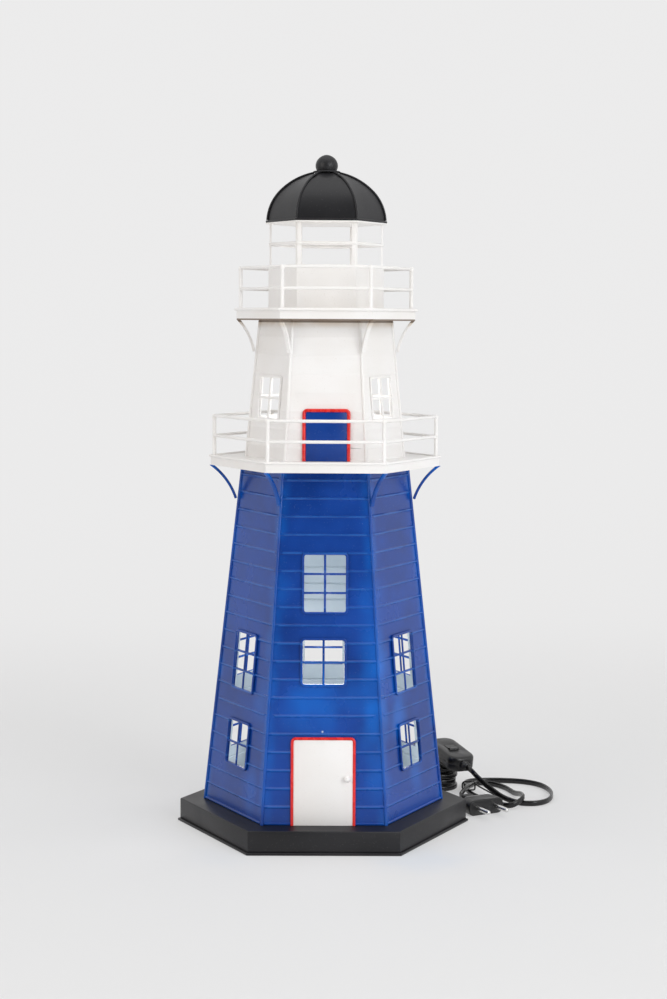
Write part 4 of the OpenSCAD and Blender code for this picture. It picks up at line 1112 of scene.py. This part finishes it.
def doorBead(name, storey):
    door = doorFacts[storey]
    r = door["bead"] / 2
    bend = door["round"] - r
    left, right = door["x"] - door["w"] / 2 + r, door["x"] + door["w"] / 2 - r
    top = door["h"] - r
    clearSelection()
    bpy.ops.mesh.primitive_circle_add(vertices=16, radius=r * mm, rotation=(math.pi / 2, 0, 0),
                                      fill_type="NGON")
    obj = named(name)
    place(obj, shifted(left, 0, r * doorFacts["beadUp"]))
    openMesh(obj, everything=True)
    extrude(y=top - bend)
    spin(6, math.pi / 2, centre=(left + bend, top - bend, 0))
    extrude(x=right - left - 2 * bend)
    spin(6, math.pi / 2, centre=(right - bend, top - bend, 0))
    extrude(y=bend - top)
    weld()
    closeMesh()
    smooth(obj)
    return place(obj, faceMatrix(storey, 0))


for storey, slot in [("tower", "white_paint"), ("upper", "blue_paint")]:
    finish(doorLeaf(storey + "Door", storey), slot, storey + "_door")
    finish(doorBead(storey + "DoorBead", storey), "red_paint", storey + "_door_frame")


def doorKnob():
    door = doorFacts["tower"]
    profile = [(0, 0), (2, 0), (2, 0.5), (1.25, 0.9), (1.25, 1.6)]
    profile += [onArc(2.5, a, 0, 3, 0.9) for a in range(-45, 90, 15)]
    obj = turnedProfile("towerDoorKnob", profile + [(0, 5.25)], 28)
    smooth(obj, 60)
    x, y = door["x"] + door["w"] / 2 - doorFacts["knobIn"], doorFacts["knobUp"] * door["h"]
    return place(obj, faceMatrix("tower", 0) @ shifted(x, y, door["leaf"]))


finish(doorKnob(), "white_paint", "tower_door_knob")
print("doors done")

# Galleries
galleryFacts = {
    "gallery": {"r": 95.8, "z": deckZ, "band": 7.5, "well": 50, "rail": 33.8, "mid": 17.2, "inset": 2.9,
                "lip": 2.2, "lipUp": 0.2, "lipOut": 1.5, "drop": 28, "lean": 18, "bracketIn": 0.6,
                "storey": "tower"},
    "upperGallery": {"r": 74.4, "z": upperDeckZ, "band": 7.9, "well": 40, "rail": 35.1, "mid": 17.9,
                     "inset": 3.4, "lip": 2.8, "lipUp": 0.9, "lipOut": 1.8, "drop": 26, "lean": 10,
                     "bracketIn": 1.8, "storey": "upper"},
    "sheet": 1, "post": 3.2, "rod": 2.6, "seam": 3.4,
    "stripWide": 3.2, "stripThick": 2.2, "stripEdge": 0.6, "stripSunk": 0.1, "stripPast": 6, "stripSteps": 22,
}


# Floor, rolled lip and band as one section carried round the six sides
def galleryDeck(name):
    own, facts = galleryFacts[name], galleryFacts
    r, z, band, t = own["r"], own["z"], own["band"], facts["sheet"]
    lipR = own["lip"] / 2
    lipIn = own["lipOut"] - lipR
    first = 180 + math.degrees(math.asin(own["lipUp"] / lipR))
    last = -math.degrees(math.acos(-lipIn / lipR))
    inner = r - t / cos30
    profile = [(own["well"], z)]
    for i in range(17):
        out, up = onArc(lipR, first + (last - first) * i / 16, lipIn, z + own["lipUp"])
        profile.append((r + out / cos30, up))
    profile += [(r, z - band), (inner, z - band), (inner, z - t), (own["well"], z - t)]
    return smooth(turnedProfile(name + "Deck", profile, 6, closed=True))


def railPosts(name):
    own, facts = galleryFacts[name], galleryFacts
    r, top = facts["post"] / 2, own["rail"] + facts["rod"] / 2
    profile = [(0, 0), (r + 0.5, 0), (r + 0.35, 0.5), (r, 1.3), (r, own["rail"] - facts["rod"] / 2 - 0.9),
               (r + 0.3, own["rail"] - facts["rod"] / 2), (r + 0.3, own["rail"] + 0.3), (r, top - 0.5)]
    profile += [onArc(r, a, 0, top - 0.9, 1.3 / r) for a in (30, 60)]
    obj = turnedProfile(name + "Posts", profile + [(0, top + 0.4)], 18)
    smooth(obj)
    place(obj, shifted(own["r"] - own["inset"], 0, own["z"]))
    return sixOf(obj, name + "Posts")


# A strip bent to an arc: its foot leans on the seam, its top is cut level under the gallery's band
def galleryBrackets(name):
    own, facts = galleryFacts[name], galleryFacts
    sizes = storeys[own["storey"]]
    bandZ = own["z"] - own["band"]
    low = bandZ - own["drop"]
    lean = math.radians(own["lean"])
    share = (low - sizes["z"]) / sizes["height"]
    seat = sizes["foot"] + (sizes["top"] - sizes["foot"]) * share + facts["seam"] / 2 - facts["stripSunk"]
    seat += facts["stripThick"] / 2 * math.cos(lean)
    reach = own["r"] - own["bracketIn"] - seat
    arc = (reach ** 2 + own["drop"] ** 2) / (2 * (reach * math.cos(lean) - own["drop"] * math.sin(lean)))
    topTurn = math.atan2(own["drop"] + arc * math.sin(lean), reach - arc * math.cos(lean))
    turn = math.pi - lean - topTurn + math.radians(facts["stripPast"])
    obj = flatSheet(name + "Brackets", facts["stripThick"], facts["stripWide"])
    closeMesh()
    place(obj, shifted(seat, 0, low) @ tipped("Y", lean))
    openMesh(obj, everything=True)
    centre = (seat + arc * math.cos(lean), 0, low - arc * math.sin(lean))
    spin(facts["stripSteps"], -turn, (0, 1, 0), centre)
    weld()
    cutAll((0, 0, bandZ), (0, 0, 1), clear_outer=True, use_fill=True)
    closeMesh()
    roundEdges(obj, facts["stripEdge"], 3, 50)
    return sixOf(obj, name + "Brackets")


galleries = [("gallery", "gallery", "blue_paint"), ("upperGallery", "upper_gallery", "white_paint")]
for name, node, slot in galleries:
    own = galleryFacts[name]
    finish(galleryDeck(name), "white_paint", node + "_deck")
    finish(railPosts(name), "white_paint", node + "_posts")
    finish(galleryBrackets(name), slot, node + "_brackets")
    for rail, height in [("mid", own["mid"]), ("top", own["rail"])]:
        ringName = name + rail.title() + "Rail"
        ring = rodRing(ringName, own["r"] - own["inset"], own["z"] + height, galleryFacts["rod"])
        finish(ring, "white_paint", node + "_" + rail + "_rail")
print("galleries done")

# Lantern
lanternFacts = {"r": 48.1, "h": 37.5, "sheet": 0.8, "ring": 54.6, "ringR": 46.2, "rod": 3,
                "postR": 47.18, "postT": 1.3, "flange": 3.3, "edge": 0.25, "postEdge": 0.2}


def lanternDrum():
    r, z, h, t = lanternFacts["r"], upperDeckZ, lanternFacts["h"], lanternFacts["sheet"] / cos30
    obj = turnedProfile("lanternDrum", [(r, z), (r, z + h), (r - t, z + h), (r - t, z)], 6, closed=True)
    return roundEdges(obj, lanternFacts["edge"])


finish(lanternDrum(), "white_paint", "lantern_drum")
ring = rodRing("lanternRing", lanternFacts["ringR"], upperDeckZ + lanternFacts["ring"], lanternFacts["rod"])
finish(ring, "white_paint", "lantern_ring")


# Angle posts folded round the corners
def lanternPosts():
    r, t = lanternFacts["postR"], lanternFacts["postT"] / cos30
    z, top = upperDeckZ, ceilingZ
    obj = turnedProfile("lanternPosts", [(r, z), (r, top), (r - t, top), (r - t, z)], 6, closed=True)
    openMesh(obj, everything=True)
    cutAll((r - lanternFacts["flange"] / 2, 0, 0), (1, 0, 0), clear_inner=True, use_fill=True)
    closeMesh()
    roundEdges(obj, lanternFacts["postEdge"])
    return sixOf(obj, "lanternPosts")


finish(lanternPosts(), "white_paint", "lantern_posts")

# Dome: a side arc and a wider top arc that meet smoothly
domeFacts = {"foot": 48.6, "height": 41.6, "sideIn": 12, "sheet": 0.9, "rib": 1.8, "ribSunk": 0.35,
             "rim": 1.8, "rimWide": 1.7, "rimEdge": 0.6, "collar": 23, "crown": 7, "steps": 14,
             "ribFoot": 0.3, "ribUnder": 1, "ribSteps": 16,
             "finial": 18.6, "finialHigh": 13.1, "finialUp": 1.6, "neck": 6.9, "neckSunk": 4, "collarUp": 0.2}
domeStep = domeFacts["height"] - domeFacts["foot"] + domeFacts["sideIn"]
domeDrop = (domeFacts["sideIn"] ** 2 - domeStep ** 2) / (2 * domeStep)
domeSideR = domeFacts["foot"] - domeFacts["sideIn"]
domeTopR = domeFacts["height"] + domeDrop
domeMeet = math.atan2(domeDrop, domeFacts["sideIn"])
crownZ = domeZ - domeDrop + math.sqrt(domeTopR ** 2 - (domeFacts["crown"] / cos30) ** 2)
rimR = domeFacts["foot"] + domeFacts["rimWide"] / cos30


def domeGores():
    facts = domeFacts
    last = math.acos(facts["crown"] / cos30 / domeTopR)
    profile = []
    for i in range(facts["steps"] + 1):
        a = domeMeet * i / facts["steps"]
        profile.append((facts["sideIn"] + domeSideR * math.cos(a), domeZ + domeSideR * math.sin(a)))
    for i in range(1, facts["steps"] + 1):
        a = domeMeet + (last - domeMeet) * i / facts["steps"]
        profile.append((domeTopR * math.cos(a), domeZ - domeDrop + domeTopR * math.sin(a)))
    obj = turnedProfile("domeGores", profile, 6)
    modify(obj, "SOLIDIFY", thickness=facts["sheet"] * mm, offset=-1)
    return smooth(obj, 30)


def domeRibs():
    facts = domeFacts
    half = facts["rib"] / 2
    sideR, topR = domeSideR + half - facts["ribSunk"], domeTopR + half - facts["ribSunk"]
    first = math.asin((facts["rim"] + facts["ribFoot"]) / sideR)
    last = math.acos((facts["collar"] / 2 - facts["ribUnder"]) / topR)
    clearSelection()
    bpy.ops.mesh.primitive_circle_add(vertices=14, radius=half * mm, fill_type="NGON")
    obj = named("domeRibs")
    place(obj, shifted(facts["sideIn"], 0, domeZ) @ tipped("Y", -first) @ shifted(sideR))
    openMesh(obj, everything=True)
    spin(facts["ribSteps"], domeMeet - first, (0, 1, 0), (facts["sideIn"], 0, domeZ))
    spin(facts["ribSteps"], last - domeMeet, (0, 1, 0), (0, 0, domeZ - domeDrop))
    weld()
    closeMesh()
    smooth(obj, 60)
    return sixOf(obj, "domeRibs")


finish(domeGores(), "black_paint", "dome_gores")
finish(domeRibs(), "black_paint", "dome_ribs")


def domeRim():
    r, z, inner, top = rimR, domeZ, rimR - domeFacts["rimWide"] / cos30, domeZ + domeFacts["rim"]
    obj = turnedProfile("domeRim", [(r, z), (r, top), (inner, top), (inner, z)], 6, closed=True)
    return roundEdges(obj, domeFacts["rimEdge"], 3)


def lanternCeiling():
    obj = turnedProfile("lanternCeiling", [(0, ceilingZ), (rimR, ceilingZ), (rimR, domeZ), (0, domeZ)], 6)
    return roundEdges(obj, lanternFacts["edge"])


def finialPiece():
    facts = domeFacts
    seat, foot, neck = crownZ + facts["collarUp"], crownZ - facts["neckSunk"], facts["neck"]
    collar, radius = facts["collar"] / 2, facts["finial"] / 2
    profile = [(0, foot), (neck, foot), (neck, seat), (collar - 0.4, seat), (collar, seat + 0.4),
               (collar - 0.1, seat + 0.9), (collar - 0.7, seat + 1.3), (radius - 1, seat + facts["finialUp"])]
    for share, up in [(0.93, 0.08), (0.98, 0.18), (1, 0.3), (0.985, 0.42), (0.93, 0.55), (0.84, 0.67),
                      (0.71, 0.78), (0.55, 0.87), (0.37, 0.94), (0.18, 0.985), (0, 1)]:
        profile.append((radius * share, seat + facts["finialUp"] + facts["finialHigh"] * up))
    return smooth(turnedProfile("finial", profile, 48), 50)


finish(domeRim(), "black_paint", "dome_rim")
finish(lanternCeiling(), "white_paint", "lantern_ceiling")
finish(finialPiece(), "black_paint", "finial")
print("lantern and dome done")

# Switch: two moulded halves that meet in a seam, a nose for the cord at each end, a well for the rocker
switchFacts = {"length": cordFacts["switchLength"], "width": 26, "thick": 14, "round": 10, "edge": 3,
               "seam": 0.22, "well": (12.7, 9.7), "screwX": 19, "screwHole": 2.4, "screwDeep": 4,
               "screwSunk": 1.2, "slots": [(0.5, 5, 0.7), (5, 0.5, 0.7)], "slotUp": 0.6}
atSwitch = shifted(*switchCentre) @ tipped("Z", yaw) @ tipped("Y", -tilt)


def switchHalf(name, up):
    facts = switchFacts
    obj = flatSheet(name, facts["length"], facts["width"], "VERT")
    roundCorners(facts["round"], 8)
    selectAll("FACE")
    extrude(z=up * facts["thick"] / 2)
    faceOutwards()
    selectFaces(obj, lambda c, n: n.z * up > 0.9)
    bpy.ops.mesh.bevel(offset=facts["edge"] * mm, segments=5)
    closeMesh()
    return obj


# A tapered nose with two rings round it, lying along X
def switchNose(side):
    profile = [(0, -1), (4.6, -1), (4.7, 0), (4.5, 1.4), (4, 1.6), (4, 2.2), (4.35, 2.4), (4.1, 3.8),
               (3.65, 4), (3.6, 4.6), (3.85, 4.8), (3.5, 5.7), (3.1, 6), (0, 6)]
    obj = turnedProfile("nose", profile, 28)
    smooth(obj, 40)
    return place(obj, shifted(side * switchFacts["length"] / 2) @ tipped("Y", side * math.pi / 2))


def screwHead(x):
    z = -switchFacts["thick"] / 2 + switchFacts["screwSunk"]
    profile = [(0, z - 0.5), (1.2, z - 0.45), (1.9, z - 0.1), (2, z + 0.3), (2, z + 1)]
    obj = place(turnedProfile("screw", profile, 20), shifted(x))
    for slotSize in switchFacts["slots"]:
        cutBox(obj, slotSize, (x, 0, z - switchFacts["slotUp"]))
    return obj


lowerCase = switchHalf("switchLowerCase", -1)
upperCase = switchHalf("switchUpperCase", 1)
cutBox(upperCase, (*switchFacts["well"], 20), (0, 0, 0))
for side in (-1, 1):
    spot = (side * switchFacts["screwX"], 0, -switchFacts["thick"] / 2)
    cutRound(lowerCase, switchFacts["screwHole"], spot, switchFacts["screwDeep"])
roundEdges(lowerCase, switchFacts["seam"], 2, 40)
roundEdges(upperCase, switchFacts["seam"], 2, 40)
lowerCase = joined([lowerCase, switchNose(-1), switchNose(1)], "switchLowerCase")
switchScrews = joined([screwHead(-switchFacts["screwX"]), screwHead(switchFacts["screwX"])], "switchScrews")
finish(place(lowerCase, atSwitch), "black_plastic", "switch_lower_case")
finish(place(upperCase, atSwitch), "black_plastic", "switch_upper_case")
finish(place(switchScrews, atSwitch), "plated_steel")

# Plug: a flat moulded body that narrows to a ribbed strain relief, with two round pins on its face
plugFacts = {"width": 35.3, "thick": cordFacts["plugThickness"], "faceEdge": 0.9, "pins": 18.6,
             "flat": 0.8, "facePanel": (1.6, 0.5), "grip": (2.2, 0.7), "edge": 0.25}
atPlug = shifted(*plugFace) @ tipped("Z", plugAngle)


def plugBody():
    wide, thick = (plugFacts[key] - 2 * plugFacts["faceEdge"] for key in ("width", "thick"))
    obj = flatSheet("plugBody", thick, wide, "VERT")
    roundCorners(thick / 2 - plugFacts["flat"], 8)
    closeMesh()
    place(obj, tipped("Y", math.pi / 2))
    openMesh(obj, everything=True)
    last = 0
    rings = [(-0.3, 34.4, 12.8), (-0.9, 35.3, 13.7), (-6, 35, 13.7), (-13, 33.4, 13.6), (-15.4, 31, 13.1),
             (-18, 26.5, 12), (-21, 19.5, 10.6), (-23.5, 14.4, 9.6), (-24.6, 12.6, 8.9), (-25, 10.4, 8)]
    for k in range(3):
        x, w, h = -25.8 - 3.1 * k, 10.2 - 0.95 * k, 8 - 0.5 * k
        rings += [(x, w - 1.6, h - 1.6), (x - 0.9, w - 1.7, h - 1.7), (x - 1.2, w, h),
                  (x - 2.4, w - 0.2, h - 0.15)]
    rings += [(-35.4, 6.6, 5.6), (-36, 5.8, 4.6)]
    for x, w, h in rings:
        extrude(x=x - last)
        resize(y=w / wide, z=h / thick)
        last, wide, thick = x, w, h
    faceOutwards()
    sunk = [("facePanel", lambda c, n: n.x > 0.9 and c.x > -0.1),
            ("grip", lambda c, n: abs(n.z) > 0.95 and -13 < c.x < -1 and abs(c.y) < 12)]
    for key, test in sunk:
        inward, deep = plugFacts[key]
        selectFaces(obj, test)
        bpy.ops.mesh.inset(thickness=inward * mm, depth=-deep * mm)
    closeMesh()
    return roundEdges(obj, plugFacts["edge"], 2, 50)


def plugPin(side):
    profile = [(0, -0.6), (2, -0.6), (2, 17.4), (1.8, 18.2), (1.3, 18.8), (0.7, 19), (0, 19)]
    obj = turnedProfile("plugPins", profile, 26)
    smooth(obj, 50)
    return place(obj, shifted(0, side * plugFacts["pins"] / 2) @ tipped("Y", math.pi / 2))


plugPins = place(joined([plugPin(-1), plugPin(1)], "plugPins"), atPlug)
plug = finish(place(plugBody(), atPlug), "black_plastic", "plug_body")
finish(plugPins, "plated_steel", "plug_pins")
print("switch and plug done")

# CAD nodes that stay, with their materials
keptNodes = {"plated_steel": ["lamp_bracket", "lamp_screws", "lamp_nipple", "lamp_nut", "bulb_cap"],
             "black_plastic": ["lampholder", "switch_rocker"], "opal_glass": ["bulb_glass"]}
for slot, nodes in keptNodes.items():
    for node in nodes:
        frame["nodes"][node].data.materials.clear()
        frame["nodes"][node].data.materials.append(finishes[slot])


# Stage: a pale floor that sweeps up behind the object. Seen directly or mirrored, the sweep shows an even
# tone that grows with the distance from the object; near the object the floor shows its shadow.
floorFacts = {
    "paper": ((0.79, 0.79, 0.79), (0.805, 0.805, 0.805)), "cloud": 3, "grain": 250, "bump": (0.05, 0.1),
    "rough": 0.8, "tint": (0.45, 0.62, 0.85),
    # Painted blue reflection on the floor in front of the base
    "blueReflections": [(75, -112, 0, 60, 0.3), (-75, -112, 0, 50, 0.12)],
    "tones": ((0.785, 0.78, 0.78), (0.838, 0.835, 0.836)), "toneRamp": (-0.6, 2.4),
    "evenRamp": (0.2, 1.1, 0.45, 1.0),
}


def makeFloor():
    facts = floorFacts
    material, tree, shader = newMaterial("paperFloor", Roughness=facts["rough"])
    point = objectPoint(tree)
    paper = blend(tree, noise(tree, point, facts["cloud"]), *facts["paper"])
    # Soft patches of pale blue on the floor in front of the base: a painted reflection of the blue tower
    feed(tree, shader, Base_Color=blend(tree, softPatches(tree, facts["blueReflections"]), paper, facts["tint"]))
    setBump(tree, shader, noise(tree, point, facts["grain"]), *facts["bump"])
    away = addNode(tree, "SeparateXYZ", {"Vector": point}).outputs["Y"]
    tone = blend(tree, remap(tree, away, *facts["toneRamp"]), *facts["tones"])
    even = addNode(tree, "Emission", {"Color": tone})
    rays = addNode(tree, "LightPath").outputs
    mirrored = calc(tree, "MAXIMUM", rays["Is Glossy Ray"], rays["Is Transmission Ray"])
    seen = calc(tree, "MAXIMUM", rays["Is Camera Ray"], mirrored)
    share = times(tree, seen, remap(tree, away, *facts["evenRamp"]))
    mixed = addNode(tree, "MixShader", {0: share, 1: shader.outputs[0], 2: even.outputs[0]})
    tree.links.new(mixed.outputs[0], tree.nodes["Material Output"].inputs["Surface"])
    return material


stageFacts = {"width": 26000, "front": -12000, "back": 2600, "height": 7000, "curve": 1400}
stage = flatSheet("floorAndBackdrop", stageFacts["width"], stageFacts["back"] - stageFacts["front"], "EDGE")
move(0, (stageFacts["back"] + stageFacts["front"]) / 2)
selectVerts(stage, lambda c: c.y > 0)
bpy.ops.mesh.select_mode(type="EDGE")
extrude(z=stageFacts["height"])
selectVerts(stage, lambda c: c.y > 0 and c.z < 1)
bpy.ops.mesh.select_mode(type="EDGE")
bpy.ops.mesh.bevel(offset=stageFacts["curve"] * mm, segments=32)
closeMesh()
smooth(stage, 60)
stage.data.materials.append(makeFloor())
stage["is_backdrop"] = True

# Light: a bright room, darker on the camera's side, with soft boxes left and right of the camera
lightFacts = {
    "room": 0.92, "front": 0.1, "frontRamp": (-0.93, -0.45), "spread": 0.02,
    "boxes": [("keyLight", (1.45, -1.95, 1.0), (0, 0, 0.22), (1.3, 1.6), 28, (0.98, 1, 1.01)),
              ("fillLight", (-1.8, -1.7, 0.9), (0, 0, 0.25), (1.2, 1.6), 12, (1, 0.95, 0.9)),
              ("topLight", (0, -0.3, 2.6), (0, 0, 0.2), (2.0, 1.6), 7, (1, 1, 1))],
    "inside": [((0, 0, 0.375), 0.08), ((0, 0, 0.25), 0.09), ((0, 0, 0.14), 0.14), ((0.055, 0, 0.05), 0.07),
               ((-0.055, 0, 0.05), 0.07)],
}
world = bpy.data.worlds.new("studio")
bpy.context.scene.world = world
world.use_nodes = True
sky = world.node_tree
towards = addNode(sky, "TexCoord").outputs["Generated"]
direction = addNode(sky, "SeparateXYZ", {"Vector": towards}).outputs["Y"]
level = remap(sky, direction, *lightFacts["frontRamp"], lightFacts["front"], lightFacts["room"])
sky.links.new(level, sky.nodes["Background"].inputs["Strength"])
sky.nodes["Background"].inputs["Color"].default_value = (1, 1, 1, 1)


def softLight(name, location, target, size, power, colour):
    bpy.ops.object.light_add(type="AREA", location=location)
    lamp = bpy.context.object
    lamp.name = name
    lamp.data.shape = "RECTANGLE"
    lamp.data.size, lamp.data.size_y = size
    lamp.data.energy = power
    lamp.data.color = colour
    lamp.rotation_euler = (Vector(target) - Vector(location)).to_track_quat("-Z", "Y").to_euler()


for box in lightFacts["boxes"]:
    softLight(*box)
for spot, power in lightFacts["inside"]:
    bpy.ops.object.light_add(type="POINT", location=spot)
    insideLight = bpy.context.object
    insideLight.name = "insideLight"
    insideLight.data.energy = power
    insideLight.data.shadow_soft_size = lightFacts["spread"]
    insideLight.visible_camera = False
bpy.context.scene.view_settings.view_transform = "Standard"

low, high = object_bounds()
for end, own, cad in (("low", low, cadLow), ("high", high, cadHigh)):
    print("grown by, at the", end, "end:", [round((a - b) / mm, 1) for a, b in zip(own, cad)])
